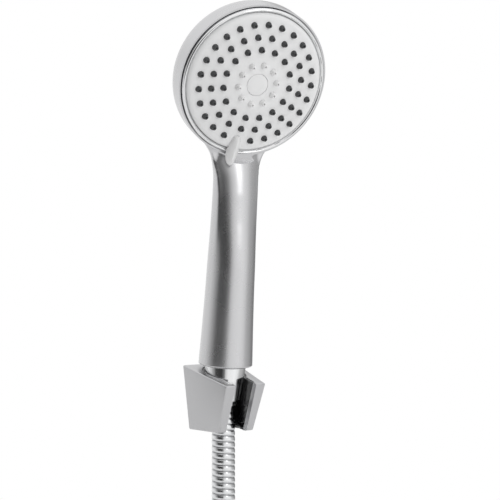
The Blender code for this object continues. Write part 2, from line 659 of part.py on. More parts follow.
seal_profile = [
    (PORT_RADIUS, SEAL_BACK),
    (SEAL_RADIUS, SEAL_BACK),
    (SEAL_RADIUS, DIVERTER_BACK - GAP),
    (PORT_RADIUS, DIVERTER_BACK - GAP),
]
place("port_seal", turned("port_seal", seal_profile, 20), "black_rubber", head_frame, PORT_SPOT)
PORT_SPRING_RADIUS = 3.7 * MM
PORT_SPRING_WIRE = 0.3 * MM
CLICK_SPRING_RADIUS = 1.35 * MM
CLICK_SPRING_WIRE = 0.2 * MM
SPRING_TURNS = 3
spring(
    "port_spring",
    PORT_SPRING_RADIUS,
    PORT_SPRING_WIRE,
    SEAL_POCKET_FLOOR + GAP,
    SEAL_BACK - GAP,
    SPRING_TURNS,
    PORT_SPOT,
)

# The click pin's tip clears the track's floor, and its spring is drawn as short as the pin can press it.
pin_tip = DIVERTER_BACK + TRACK_DEPTH - GAP
spring_top = PIN_BACK - PIN_TRAVEL - GAP
pin_profile = [
    (0, PIN_BACK),
    (PIN_RADIUS, PIN_BACK),
    (PIN_RADIUS, pin_tip - 1.4 * MM),
    (PIN_RADIUS * 0.7, pin_tip - 0.5 * MM),
    (PIN_RADIUS * 0.3, pin_tip),
    (0, pin_tip),
]
place("click_pin", turned("click_pin", pin_profile, 16), "stainless_steel", head_frame, PIN_SPOT)
spring(
    "click_spring",
    CLICK_SPRING_RADIUS,
    CLICK_SPRING_WIRE,
    PIN_POCKET_FLOOR + GAP,
    spring_top,
    SPRING_TURNS,
    PIN_SPOT,
)


# The turning spray face


def plate_height(radius):
    """Height of the face plate's outer surface over the shell's lip."""
    dome = PLATE_CROWN - PLATE_DOME * (radius / EDGE_START) ** 2
    edge = max(0.0, radius - EDGE_START) / (PLATE_RADIUS - EDGE_START)
    return dome - EDGE_DROP * edge**2


def dome_points(inner, outer, drop):
    """Points along the dome, from an inner to an outer radius, this far under the plate's surface."""
    grid = [PLATE_RADIUS * i / 4 for i in range(5)] + [EDGE_START]
    between = sorted(radius for radius in grid if inner + GAP < radius < outer - GAP)
    return [(radius, plate_height(radius) - drop) for radius in (inner, *between, outer)]


MAT_TOP = PLATE_THICKNESS + GAP
MAT_RADIUS = EDGE_START
CAP_SEAT = PLATE_CROWN - CAP_THICKNESS - GAP
DIVERTER_FRONT = DIVERTER_BACK + DIVERTER_THICKNESS
HUB_BOTTOM = BOSS_TOP + GAP
SCREW_SEAT = CAP_SEAT - SCREW_HEAD_ROOM

face_profile = [(CAP_RADIUS + GAP, CAP_SEAT), *dome_points(CAP_RADIUS + GAP, PLATE_RADIUS, 0)]
face_profile += dome_points(HUB_RADIUS, PLATE_RADIUS, PLATE_THICKNESS)[::-1]
face_profile += [
    (HUB_RADIUS, HUB_BOTTOM),
    (SCREW_M4_RADIUS + GAP, HUB_BOTTOM),
    (SCREW_M4_RADIUS + GAP, SCREW_SEAT),
    (SCREW_M4_HEAD + GAP, SCREW_SEAT),
    (SCREW_M4_HEAD + GAP, CAP_SEAT),
]
face_plate = place("face_plate", turned("face_plate", face_profile, 36), "pale_plastic", face_frame)


def nozzle_spots():
    """Angle and radius of each rubber nozzle. The outer ring leaves one place free for the lever."""
    spots = []
    for radius, count in RINGS:
        first = 1 if radius == OUTER_RING else 0
        for i in range(first, count):
            spots.append((radius, -math.pi / 2 + math.tau * i / count))
    return spots


def massage_spots():
    return [(MASSAGE_RING, -math.pi / 2 + math.tau * i / MASSAGE_COUNT) for i in range(MASSAGE_COUNT)]


def cones(name, spots, outline, sides=6):
    """Separate small turned shapes, one on each spot, as one mesh for a Boolean."""
    bm = bmesh.new()
    for radius, angle in spots:
        surface = plate_height(radius)
        centre = Vector((radius * math.cos(angle), radius * math.sin(angle), surface))
        rows = []
        for ring_radius, height in outline:
            ring = circle(centre + Vector((0, 0, height)), ring_radius, sides)
            rows.append([bm.verts.new(point) for point in ring])
        for low, high in zip(rows, rows[1:]):
            for i in range(sides):
                j = (i + 1) % sides
                bm.faces.new((low[i], low[j], high[j], high[i]))
        bm.faces.new(rows[0])
        bm.faces.new(rows[-1])
    return mesh_from(bm, name)


def pierce(name, spots, base):
    """Cuts six-sided holes in the face plate that clear nozzles of this base radius all round."""
    radius = base + GAP / math.cos(math.pi / 6)
    through = [(radius, -2 * PLATE_THICKNESS), (radius, 2 * PLATE_THICKNESS)]
    boolean(face_plate, place(name, cones(name, spots, through), None, face_frame))


pierce("nozzle_holes", nozzle_spots(), NOZZLE_BASE)
pierce("massage_holes", massage_spots(), MASSAGE_BASE)

# Silicone mat with its nozzles, behind the plate
mat_profile = dome_points(INSERT_RADIUS + GAP, MAT_RADIUS, MAT_TOP)
mat_profile += dome_points(INSERT_RADIUS + GAP, MAT_RADIUS, MAT_TOP + MAT_THICKNESS)[::-1]
nozzle_mat = place("nozzle_mat", turned("nozzle_mat", mat_profile, 30), "grey_silicone", face_frame)
nozzle_outline = [
    (NOZZLE_BASE, -MAT_TOP - MAT_THICKNESS * 0.7),
    (NOZZLE_BASE, NOZZLE_STEP),
    (NOZZLE_TIP, NOZZLE_HEIGHT),
]
nozzle_mesh = cones("nozzle_cones", nozzle_spots(), nozzle_outline)
boolean(nozzle_mat, place("nozzle_cones", nozzle_mesh, None, face_frame), "UNION")

# White insert with the ten massage nozzles
insert_profile = dome_points(HUB_RADIUS + GAP, INSERT_RADIUS, MAT_TOP)
insert_profile += dome_points(HUB_RADIUS + GAP, INSERT_RADIUS, MAT_TOP + MAT_THICKNESS)[::-1]
insert_mesh = turned("massage_insert", insert_profile, 20)
massage_insert = place("massage_insert", insert_mesh, "white_plastic", face_frame)
massage_outline = [
    (MASSAGE_BASE, -MAT_TOP - MAT_THICKNESS * 0.7),
    (MASSAGE_BASE, MASSAGE_STEP),
    (MASSAGE_TIP, MASSAGE_HEIGHT),
]
massage_mesh = cones("massage_cones", massage_spots(), massage_outline)
boolean(massage_insert, place("massage_cones", massage_mesh, None, face_frame), "UNION")

# Diverter plate: carries the mat on its rim and hub, and turns over the fixed port
mat_under_rim = plate_height(MAT_RADIUS) - MAT_TOP - MAT_THICKNESS - GAP
DIVERTER_RADIUS = PLATE_RADIUS - 2 * GAP
DIVERTER_RIM = 2.0 * MM
SEAL_LEDGE = DIVERTER_FRONT - 0.8 * MM
SEAL_BORE = BOSS_RADIUS + GAP + 2 * SEAL_WIRE + GAP  # wall that holds the centre seal
SEAL_WALL = 1.4 * MM
diverter_profile = [
    (BOSS_RADIUS + GAP, DIVERTER_BACK),
    (DIVERTER_RADIUS, DIVERTER_BACK),
    (DIVERTER_RADIUS, mat_under_rim),
    (DIVERTER_RADIUS - DIVERTER_RIM, mat_under_rim),
    (DIVERTER_RADIUS - DIVERTER_RIM * 1.2, DIVERTER_FRONT),
    (SEAL_BORE + SEAL_WALL, DIVERTER_FRONT),
    (SEAL_BORE + SEAL_WALL, SEAL_LEDGE + 2 * SEAL_WIRE),
    (SEAL_BORE, SEAL_LEDGE + 2 * SEAL_WIRE),
    (SEAL_BORE, SEAL_LEDGE),
    (BOSS_RADIUS + GAP, SEAL_LEDGE),
]
diverter_mesh = turned("diverter_plate", diverter_profile, 36)
diverter_plate = place("diverter_plate", diverter_mesh, "natural_plastic", face_frame)


def diverter_cut(name, outline, spot):
    boolean(diverter_plate, place(name, turned(name, outline, 12), None, face_frame, spot))


port_outline = [(0, CHAMBER_FRONT), (PORT_RADIUS, CHAMBER_FRONT), (PORT_RADIUS, 0), (0, 0)]
notch_outline = [
    (0, CHAMBER_FRONT),
    (PIN_RADIUS + 2 * GAP, CHAMBER_FRONT),
    (PIN_RADIUS + 2 * GAP, DIVERTER_BACK),
    (PIN_RADIUS * 0.4, DIVERTER_BACK + NOTCH_DEPTH),
    (0, DIVERTER_BACK + NOTCH_DEPTH),
]
for label, click in (("left", -1), ("middle", 0), ("right", 1)):
    port_angle = -math.pi / 2 - FACE_TURN + click * CLICK_STEP
    port_x = PORT_RING * math.cos(port_angle)
    port_y = PORT_RING * math.sin(port_angle)
    diverter_cut("port_" + label, port_outline, (port_x, port_y, 0))
    diverter_cut("notch_" + label, notch_outline, (-port_x, -port_y, 0))


def track_ring(angle):
    """The track's four-sided section at an angle round the plate."""
    half = PIN_RADIUS + 2 * GAP
    ring = []
    for radius, height in ((-half, -1 * MM), (half, -1 * MM), (half, TRACK_DEPTH), (-half, TRACK_DEPTH)):
        across = PORT_RING + radius
        ring.append((across * math.cos(angle), across * math.sin(angle), DIVERTER_BACK + height))
    return ring


TRACK_STEPS = 16
track_reach = CLICK_STEP + math.radians(9)
track_start = math.pi / 2 - FACE_TURN - track_reach
track_rings = [track_ring(track_start + 2 * track_reach * i / TRACK_STEPS) for i in range(TRACK_STEPS + 1)]
click_track = place("click_track", lofted("click_track", track_rings), None, face_frame)
boolean(diverter_plate, click_track)

# O-ring between the diverter plate and the chamber's boss
ring_centre = BOSS_RADIUS + GAP + SEAL_WIRE
ring_height = SEAL_LEDGE + GAP + SEAL_WIRE
ring_profile = []
for i in range(8):
    angle = math.tau * i / 8
    radius = ring_centre + SEAL_WIRE * math.cos(angle)
    ring_profile.append((radius, ring_height + SEAL_WIRE * math.sin(angle)))
place("centre_seal", turned("centre_seal", ring_profile, 20), "black_rubber", face_frame)

# Chromed rim round the plate
RIM_SKIRT = LIP_DEPTH - 2 * GAP
rim_profile = [
    (PLATE_RADIUS + GAP, -RIM_SKIRT),
    (RIM_RADIUS, -RIM_SKIRT),
    (RIM_RADIUS, RIM_HEIGHT - 1.1 * MM),
    (RIM_RADIUS - 0.5 * MM, RIM_HEIGHT - 0.2 * MM),
    (RIM_RADIUS - 1.0 * MM, RIM_HEIGHT),
    (PLATE_RADIUS + GAP + 0.2 * MM, RIM_HEIGHT - 1.0 * MM),
    (PLATE_RADIUS + GAP, RIM_HEIGHT - 1.4 * MM),
]
place("face_rim", turned("face_rim", rim_profile, 48), "polished_chrome", face_frame)

# Centre screw and the cap over it
HEX_RADIUS = 1.4 * MM
HEX_DEPTH = 1.2 * MM
head_top = CAP_SEAT - GAP
centre_profile = [
    (0, SCREW_M4_TIP),
    (SCREW_M4_RADIUS, SCREW_M4_TIP),
    (SCREW_M4_RADIUS, SCREW_SEAT + GAP),
    (SCREW_M4_HEAD, SCREW_SEAT + GAP),
    (SCREW_M4_HEAD, head_top - 0.4 * MM),
    (SCREW_M4_HEAD - 0.5 * MM, head_top),
    (HEX_RADIUS, head_top),
    (HEX_RADIUS, head_top - HEX_DEPTH),
    (0, head_top - HEX_DEPTH),
]
place("centre_screw", turned("centre_screw", centre_profile, 12), "stainless_steel", face_frame)
cap_profile = [
    (0, CAP_SEAT + GAP),
    (CAP_RADIUS, CAP_SEAT + GAP),
    (CAP_RADIUS, plate_height(CAP_RADIUS) - 0.1 * MM),
    (CAP_RADIUS - 0.4 * MM, plate_height(CAP_RADIUS) + 0.1 * MM),
    (0, PLATE_CROWN + 0.1 * MM),
]
place("centre_cap", turned("centre_cap", cap_profile, 32), "pale_plastic", face_frame)

# Setting lever: a rounded wedge that crosses the rim, on a peg through the plate
TAB_SECTIONS = (
    (0.00, 0.50, 0.04),
    (0.10, 0.66, 0.36),
    (0.30, 0.84, 0.66),
    (0.52, 1.00, 0.92),
    (0.72, 0.96, 0.90),
    (0.88, 0.72, 0.62),
    (0.97, 0.40, 0.36),
    (1.00, 0.16, 0.26),
)
TAB_START = OUTER_RING - TAB_INSET
TAB_REACH = RIM_RADIUS + TAB_OVERHANG


def tab_floor(radius):
    """The lever's underside: just over the plate, just over the rim's crest, then rising past it."""
    if radius < EDGE_START:
        return plate_height(radius) + GAP
    past_rim = max(0.0, radius - RIM_RADIUS)
    return max(RIM_HEIGHT, plate_height(radius)) + GAP + TAB_LIFT * past_rim


def tab_ring(share, width, rise):
    radius = TAB_START + (TAB_REACH - TAB_START) * share
    low = tab_floor(radius)
    half = TAB_HALF_WIDTH * width
    top = low + 0.5 * MM + TAB_RISE * rise
    return [
        (-half, -radius, low),
        (half, -radius, low),
        (half, -radius, low + (top - low) * 0.45),
        (half * 0.30, -radius, low + (top - low) * 0.92),
        (0, -radius, top),
        (-half * 0.30, -radius, low + (top - low) * 0.92),
        (-half, -radius, low + (top - low) * 0.45),
    ]


setting_lever = place(
    "setting_lever",
    lofted("setting_lever", [tab_ring(*section) for section in TAB_SECTIONS]),
    "white_plastic",
    face_frame,
    sharp=50,
)
PEG_Y = -(OUTER_RING + 1.0 * MM)
PLATE_AT_PEG = plate_height(OUTER_RING)


def peg_box(name, half, low, high):
    return box(name, (-half, PEG_Y - half, PLATE_AT_PEG + low), (half, PEG_Y + half, PLATE_AT_PEG + high))


peg_mesh = peg_box("lever_peg", PEG_HALF, -PLATE_THICKNESS, 1.2 * MM)
boolean(setting_lever, place("lever_peg", peg_mesh, None, face_frame), "UNION")
socket_mesh = peg_box("peg_socket", PEG_HALF + GAP, -3 * PLATE_THICKNESS, 3 * PLATE_THICKNESS)
boolean(face_plate, place("peg_socket", socket_mesh, None, face_frame))


# Hose end in the handset: cone nut, washer, tail and ferrule, all on the seat's axis

WASHER_TOP = -(THREAD_LENGTH + GAP)


def nut_profile():
    """Outline of the cone nut, measured down from the end of the handle."""
    top = -0.5 * MM
    lip = FERRULE_RADIUS + GAP
    return [
        (NUT_BORE, top),
        (NUT_TOP_RADIUS - 0.4 * MM, top),
        (NUT_TOP_RADIUS, top - 0.4 * MM),
        (NUT_BOTTOM_RADIUS + 0.1 * MM, -NUT_LENGTH + 0.6 * MM),
        (NUT_BOTTOM_RADIUS - 0.5 * MM, -NUT_LENGTH),
        (lip, -NUT_LENGTH),
        (lip, -NUT_SHOULDER),
        (FLANGE_ROOM, -NUT_SHOULDER),
        (FLANGE_ROOM, WASHER_TOP),
        (NUT_BORE, WASHER_TOP),
    ]


FLANGE_TOP = WASHER_TOP - WASHER_THICKNESS - GAP
TAIL_END = FLANGE_TOP - FLANGE_THICKNESS - TAIL_LENGTH
washer_profile = [
    (WATERWAY_RADIUS, WASHER_TOP),
    (FLANGE_RADIUS, WASHER_TOP),
    (FLANGE_RADIUS, WASHER_TOP - WASHER_THICKNESS),
    (WATERWAY_RADIUS, WASHER_TOP - WASHER_THICKNESS),
]
tail_profile = [
    (WATERWAY_RADIUS, FLANGE_TOP),
    (FLANGE_RADIUS, FLANGE_TOP),
    (FLANGE_RADIUS, FLANGE_TOP - FLANGE_THICKNESS),
    (HOSE_RADIUS, FLANGE_TOP - FLANGE_THICKNESS),
    (HOSE_RADIUS, TAIL_END),
    (WATERWAY_RADIUS, TAIL_END),
]
ferrule_top = FLANGE_TOP - FLANGE_THICKNESS - GAP
ferrule_profile = [
    (HOSE_RADIUS + GAP, ferrule_top),
    (FERRULE_RADIUS, ferrule_top),
    (FERRULE_RADIUS, ferrule_top - FERRULE_LENGTH),
    (HOSE_RADIUS + GAP, ferrule_top - FERRULE_LENGTH),
]


def hose_fitting(prefix, frame, nut_finish):
    """The four pieces on one end of the hose."""
    nut_name = prefix + "_nut"
    place(nut_name, turned(nut_name, nut_profile(), 28), nut_finish, frame)
    washer_name = prefix + "_washer"
    place(washer_name, turned(washer_name, washer_profile, 20), "black_rubber", frame)
    tail_name = prefix + "_tail"
    place(tail_name, turned(tail_name, tail_profile, 20), "brass", frame)
    ferrule_name = prefix + "_ferrule"
    place(ferrule_name, turned(ferrule_name, ferrule_profile, 20), "stainless_steel", frame)


hose_fitting("cone", handset_frame, "polished_chrome")


# Hose: down from the nut, across behind the coil to its left, 2.75 turns, and a straight end on top.
HOSE_START = SEAT_POINT + SEAT_AXIS * (TAIL_END - GAP)
COIL_END_Y = HOSE_Y - COIL_PITCH * COIL_LAYERS
COIL_TOP_Z = COIL_CENTRE_Z + COIL_RADIUS

# Hand-chosen points of the way in: x, and height over the coil's centre
WAY_IN = (
    (0, 150),
    (0, 137),
    (0, 123),
    (0, 110),
    (-0.8, 99.5),
    (-3.4, 89.5),
    (-8.3, 79.5),
    (-15.3, 69.5),
    (-25.3, 61),
    (-35.3, 54.6),
    (-45.3, 48.2),
    (-55.3, 39.8),
    (-62.2, 29.8),
    (-67.1, 19.8),
    (-69.8, 9.8),
    (-70.6, 4.9),
    (-70.6, 0),
)

END_STEP = 5 * MM  # length of the first and last straight step of a hose's solid


def smooth_points(route, spacing):
    """Points read from a smooth curve through the route's own points, with a short step at each end."""
    padded = [route[0] * 2 - route[1], *route, route[-1] * 2 - route[-2]]
    fine = []
    for before, start, end, after in zip(padded, padded[1:], padded[2:], padded[3:]):
        for i in range(20):
            t = i / 20
            bend = before * (-t + 2 * t**2 - t**3) + start * (2 - 5 * t**2 + 3 * t**3)
            bend += end * (t + 4 * t**2 - 3 * t**3) + after * (t**3 - t**2)
            fine.append(bend / 2)
    fine.append(route[-1])
    lengths = [0.0]
    for one, two in zip(fine, fine[1:]):
        lengths.append(lengths[-1] + (two - one).length)
    count = max(2, round(lengths[-1] / spacing))
    stops = [lengths[-1] * i / count for i in range(count + 1)]
    stops.insert(1, END_STEP)
    stops.insert(-1, lengths[-1] - END_STEP)
    picked = []
    at = 0
    for wanted in stops:
        while at < len(fine) - 2 and lengths[at + 1] < wanted:
            at += 1
        step = lengths[at + 1] - lengths[at]
        picked.append(fine[at].lerp(fine[at + 1], (wanted - lengths[at]) / step))
    return picked


def tube(name, points, radius, finish):
    data = bpy.data.curves.new(name, "CURVE")
    data.dimensions = "3D"
    data.bevel_depth = radius
    data.bevel_resolution = 3
    data.use_fill_caps = True
    line = data.splines.new("POLY")
    line.points.add(len(points) - 1)
    for target, point in zip(line.points, points):
        target.co = (*point, 1)
    data.materials.append(material(finish))
    made = bpy.data.objects.new(name, data)
    bpy.context.scene.collection.objects.link(made)
    return made


route_in = [HOSE_START, HOSE_START - SEAT_AXIS * 3 * MM, HOSE_START - SEAT_AXIS * 6 * MM]
for x, over in WAY_IN:
    z = COIL_CENTRE_Z + over * MM
    if z < HOSE_START.z - 12 * MM:
        route_in.append(Vector((x * MM, HOSE_Y, z)))
route_in[-1].z += GAP
tube("hose", smooth_points(route_in, 2.2 * HOSE_DIAMETER), HOSE_RADIUS, "stainless_steel")

# Coil: the outer shape of the turns, cut back where the hose comes in and where it leaves. The straight
# end carries the nut out to where the turn below it has curved away from the nut's narrow end.
COIL_HALF = HOSE_RADIUS + GAP
NUT_SINK = 0.64 * NUT_BOTTOM_RADIUS  # depth of the nut's side where the coil's outside meets it
NUT_SINK_HALF = 0.77 * NUT_BOTTOM_RADIUS  # half its width there
way_clear = math.sqrt((COIL_RADIUS + COIL_HALF) ** 2 - (COIL_RADIUS - NUT_SINK) ** 2)
END_STRAIGHT = max(LEAST_END, way_clear + NUT_LENGTH + TAIL_END - GAP)
COIL_BACK = HOSE_Y + COIL_HALF
COIL_FRONT = COIL_END_Y - COIL_HALF
coil_profile = [
    (COIL_RADIUS - COIL_HALF, -COIL_BACK),
    (COIL_RADIUS + COIL_HALF, -COIL_BACK),
    (COIL_RADIUS + COIL_HALF, -COIL_FRONT),
    (COIL_RADIUS - COIL_HALF, -COIL_FRONT),
]
hose_coil = place(
    "hose_coil",
    turned("hose_coil", coil_profile, 40),
    "stainless_steel",
    None,
    (0, 0, COIL_CENTRE_Z),
    (math.pi / 2, 0, 0),
)
way_in_room = box(
    "way_in_room",
    (-0.12, HOSE_Y - HOSE_RADIUS - GAP, COIL_CENTRE_Z),
    (25 * MM, 0.0, COIL_CENTRE_Z + 0.2),
)
boolean(hose_coil, place("way_in_room", way_in_room, None))
way_out_room = box(
    "way_out_room",
    (-0.12, COIL_FRONT - 5 * MM, COIL_CENTRE_Z + 20 * MM),
    (0, COIL_END_Y + max(FERRULE_RADIUS, NUT_SINK_HALF) + GAP, COIL_CENTRE_Z + 0.2),
)
boolean(hose_coil, place("way_out_room", way_out_room, None))

end_points = [Vector((-GAP, COIL_END_Y, COIL_TOP_Z)), Vector((-END_STRAIGHT, COIL_END_Y, COIL_TOP_Z))]
tube("hose_end", smooth_points(end_points, 1.1 * HOSE_DIAMETER), HOSE_RADIUS, "stainless_steel")

# The end fitting's own frame has +Z on along the hose's last run, out of the nut's open end
end_frame = empty(
    "hose_end_frame",
    None,
    (-END_STRAIGHT + (TAIL_END - GAP), COIL_END_Y, COIL_TOP_Z),
    (0, -math.pi / 2, 0),
)
hose_fitting("end", end_frame, "polished_chrome")


def tie_band(name, angle, rear, front):
    """A flat loop round the coil's section at this angle from +X."""
    low_radius = COIL_RADIUS - COIL_HALF - GAP
    high_radius = COIL_RADIUS + COIL_HALF + GAP
    wall = TIE_THICKNESS
    half = TIE_WIDTH / 2
    turn = Matrix.Rotation(-angle, 4, "Y")
    middle = (0, 0, COIL_CENTRE_Z)
    outer_low = (low_radius - wall, front - GAP - wall, -half)
    outer_high = (high_radius + wall, rear + GAP + wall, half)
    outer = box(name, outer_low, outer_high)
    outer.transform(turn)
    band = place(name, outer, "tie_rubber", None, middle)
    inner = box(name + "_inside", (low_radius, front - GAP, -2 * half), (high_radius, rear + GAP, 2 * half))
    inner.transform(turn)
    boolean(band, place(name + "_inside", inner, None, None, middle))


way_in_layer = HOSE_Y - HOSE_RADIUS - GAP
tie_band("hose_tie_upper", math.radians(75), way_in_layer, COIL_FRONT)
tie_band("hose_tie_lower", math.radians(255), COIL_BACK, COIL_FRONT)
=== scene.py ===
"""Looks of a handheld shower head resting in its wall holder, with its metal hose and the hose's coil.

Metres, +Z up, the wall at y = 0 and the holder's front towards -Y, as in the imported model.
"""

import math

import bmesh
import bpy
from mathutils import Matrix, Vector


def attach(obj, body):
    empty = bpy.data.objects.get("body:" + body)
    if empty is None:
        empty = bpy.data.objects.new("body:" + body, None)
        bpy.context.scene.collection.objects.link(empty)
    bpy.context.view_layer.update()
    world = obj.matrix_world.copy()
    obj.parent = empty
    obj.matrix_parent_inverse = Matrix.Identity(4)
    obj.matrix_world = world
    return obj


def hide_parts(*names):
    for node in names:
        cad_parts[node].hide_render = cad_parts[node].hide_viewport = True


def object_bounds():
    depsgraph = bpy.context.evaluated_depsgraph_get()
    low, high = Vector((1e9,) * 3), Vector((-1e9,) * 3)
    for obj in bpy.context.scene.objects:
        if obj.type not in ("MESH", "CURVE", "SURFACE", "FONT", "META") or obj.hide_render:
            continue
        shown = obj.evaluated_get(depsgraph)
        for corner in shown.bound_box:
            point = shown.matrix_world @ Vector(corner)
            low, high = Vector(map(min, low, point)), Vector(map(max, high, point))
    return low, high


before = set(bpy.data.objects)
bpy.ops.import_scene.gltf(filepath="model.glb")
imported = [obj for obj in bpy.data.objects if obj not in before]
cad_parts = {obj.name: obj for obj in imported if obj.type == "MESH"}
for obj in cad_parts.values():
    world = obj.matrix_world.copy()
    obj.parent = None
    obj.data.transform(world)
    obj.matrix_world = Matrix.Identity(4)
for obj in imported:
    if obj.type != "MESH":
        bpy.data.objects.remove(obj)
cad_low, cad_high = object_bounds()
MM = 0.001
scene = bpy.context.scene

# Camera: a long lens a little to the left of the holder, level with the handle and looking just
# below the horizon, so that the spray face is seen from its left side.

CAMERA_AZIMUTH = math.radians(38)
CAMERA_DOWN = math.radians(1.1)
CAMERA_PLACE = (-0.609, -0.820, 0.107)
FOCAL_LENGTH = 122.4  # in millimetres, behind a sensor 36 mm wide


def in_scene(name, data):
    """A new object in the scene that holds this camera, light or mesh."""
    made = bpy.data.objects.new(name, data)
    scene.collection.objects.link(made)
    return made


ahead = Vector(
    (
        math.sin(CAMERA_AZIMUTH) * math.cos(CAMERA_DOWN),
        math.cos(CAMERA_AZIMUTH) * math.cos(CAMERA_DOWN),
        -math.sin(CAMERA_DOWN),
    )
)
to_right = Vector((math.cos(CAMERA_AZIMUTH), -math.sin(CAMERA_AZIMUTH), 0))
camera_up = to_right.cross(ahead)
lens = bpy.data.cameras.new("camera")
lens.sensor_width = 36
lens.lens = FOCAL_LENGTH
lens.clip_start = 0.05
lens.clip_end = 20
camera = in_scene("camera", lens)
camera.matrix_world = Matrix.Translation(CAMERA_PLACE) @ Matrix(
    (
        (to_right.x, camera_up.x, -ahead.x, 0),
        (to_right.y, camera_up.y, -ahead.y, 0),
        (to_right.z, camera_up.z, -ahead.z, 0),
        (0, 0, 0, 1),
    )
)
scene.camera = camera
scene.view_settings.view_transform = "Standard"

# Hose: a plain rubber hose inside a sleeve of folded, interlocking chromed strip, which shows as one
# fine helical ridge after another. It hangs from the cone nut, crosses behind its own stored coil to
# the left side, makes two and three quarter turns and ends in a short straight run on top.

HOSE_DIAMETER = 14.0 * MM
RIDGE_PITCH = 3.5 * MM
RIDGE_DEPTH = 0.55 * MM
HOSE_SIDES = 24
RINGS_A_PITCH = 8
HANDLE_TILT = math.radians(5.45)
SEAT_POINT = Vector((0, -16.75 * MM, 19.71 * MM))  # the seat's axis at the handle's end
SEAT_AXIS = Vector((0, -math.sin(HANDLE_TILT), math.cos(HANDLE_TILT)))
NUT_LENGTH = 21.0 * MM
HOSE_TO_SEAT = 18.9  # millimetres from the seat's point down to the hose's end in its nut
HOSE_EXIT = SEAT_POINT - SEAT_AXIS * HOSE_TO_SEAT * MM
HOSE_Y = (SEAT_POINT - SEAT_AXIS * NUT_LENGTH).y
COIL_RADIUS = 70.6 * MM
COIL_CENTRE_Z = -176.0 * MM
COIL_TURNS = 2.75
TURN_STEPS = 28
LAYER = 14.6 * MM
LAYER_CREEP = 0.1 / COIL_TURNS
LAYER_SHIFT = 0.6  # part of each turn in which it crosses to the next layer
END_STRAIGHT = 46.0 * MM
# From the nut down to the coil: x, and height over the coil's centre, in millimetres
WAY_IN = (
    (0, 150),
    (0, 137),
    (0, 123),
    (0, 110),
    (-0.8, 99.5),
    (-3.4, 89.5),
    (-8.3, 79.5),
    (-15.3, 69.5),
    (-25.3, 61),
    (-35.3, 54.6),
    (-45.3, 48.2),
    (-55.3, 39.8),
    (-62.2, 29.8),
    (-67.1, 19.8),
    (-69.8, 9.8),
)
hose_route = [HOSE_EXIT, HOSE_EXIT - SEAT_AXIS * 3 * MM, HOSE_EXIT - SEAT_AXIS * 6 * MM]
hose_route += [Vector((x * MM, HOSE_Y, COIL_CENTRE_Z + over * MM)) for x, over in WAY_IN]
for i in range(round(COIL_TURNS * TURN_STEPS) + 1):
    turns = i / TURN_STEPS
    shift = min(1.0, (turns % 1.0) / LAYER_SHIFT)
    layers = math.floor(turns) + shift * shift * (3 - 2 * shift) + LAYER_CREEP * turns
    angle = math.pi + math.tau * turns
    hose_route.append(
        Vector(
            (
                COIL_RADIUS * math.cos(angle),
                HOSE_Y - LAYER * layers,
                COIL_CENTRE_Z + COIL_RADIUS * math.sin(angle),
            )
        )
    )
coil_end = hose_route[-1]
for run in (14 * MM, 30 * MM, END_STRAIGHT):
    hose_route.append(coil_end + Vector((-run, 0, 0)))


def smooth_path(route, step):
    """Evenly spaced points on a smooth curve through the route's points."""
    padded = [route[0] * 2 - route[1], *route, route[-1] * 2 - route[-2]]
    fine = []
    for before, start, end, after in zip(padded, padded[1:], padded[2:], padded[3:]):
        for i in range(16):
            t = i / 16
            bend = before * (-t + 2 * t**2 - t**3) + start * (2 - 5 * t**2 + 3 * t**3)
            bend += end * (t + 4 * t**2 - 3 * t**3) + after * (t**3 - t**2)
            fine.append(bend / 2)
    fine.append(route[-1])
    lengths = [0.0]
    for one, two in zip(fine, fine[1:]):
        lengths.append(lengths[-1] + (two - one).length)
    count = max(2, round(lengths[-1] / step))
    picked = []
    at = 0
    for wanted in (lengths[-1] * i / count for i in range(count + 1)):
        while at < len(fine) - 2 and lengths[at + 1] < wanted:
            at += 1
        picked.append(fine[at].lerp(fine[at + 1], (wanted - lengths[at]) / (lengths[at + 1] - lengths[at])))
    return picked


def finish(name, colour, roughness, metallic=0.0):
    """A new finish on one Principled shader; what varies over the surface is linked in afterwards."""
    made = bpy.data.materials.new(name)
    made.use_nodes = True
    made.diffuse_color = (*colour, 1)
    shader = made.node_tree.nodes["Principled BSDF"]
    shader.inputs["Base Color"].default_value = (*colour, 1)
    shader.inputs["Roughness"].default_value = roughness
    shader.inputs["Metallic"].default_value = metallic
    return made


def mottle(made, scale, low, high, socket="Roughness", detail=3.0):
    """Noise on the piece's own coordinates spread between two values, into a socket of the shader."""
    nodes, links = made.node_tree.nodes, made.node_tree.links
    where = nodes.new("ShaderNodeTexCoord")
    noise = nodes.new("ShaderNodeTexNoise")
    noise.inputs["Scale"].default_value = scale
    noise.inputs["Detail"].default_value = detail
    links.new(where.outputs["Object"], noise.inputs["Vector"])
    if isinstance(low, tuple):
        spread = nodes.new("ShaderNodeMix")
        spread.data_type = "RGBA"
        spread.inputs[6].default_value = (*low, 1)
        spread.inputs[7].default_value = (*high, 1)
        links.new(noise.outputs["Fac"], spread.inputs[0])
        out = spread.outputs[2]
    else:
        spread = nodes.new("ShaderNodeMapRange")
        spread.inputs["From Min"].default_value = 0.3
        spread.inputs["From Max"].default_value = 0.7
        spread.inputs["To Min"].default_value = low
        spread.inputs["To Max"].default_value = high
        links.new(noise.outputs["Fac"], spread.inputs["Value"])
        out = spread.outputs["Result"]
    links.new(out, nodes["Principled BSDF"].inputs[socket])
    return out


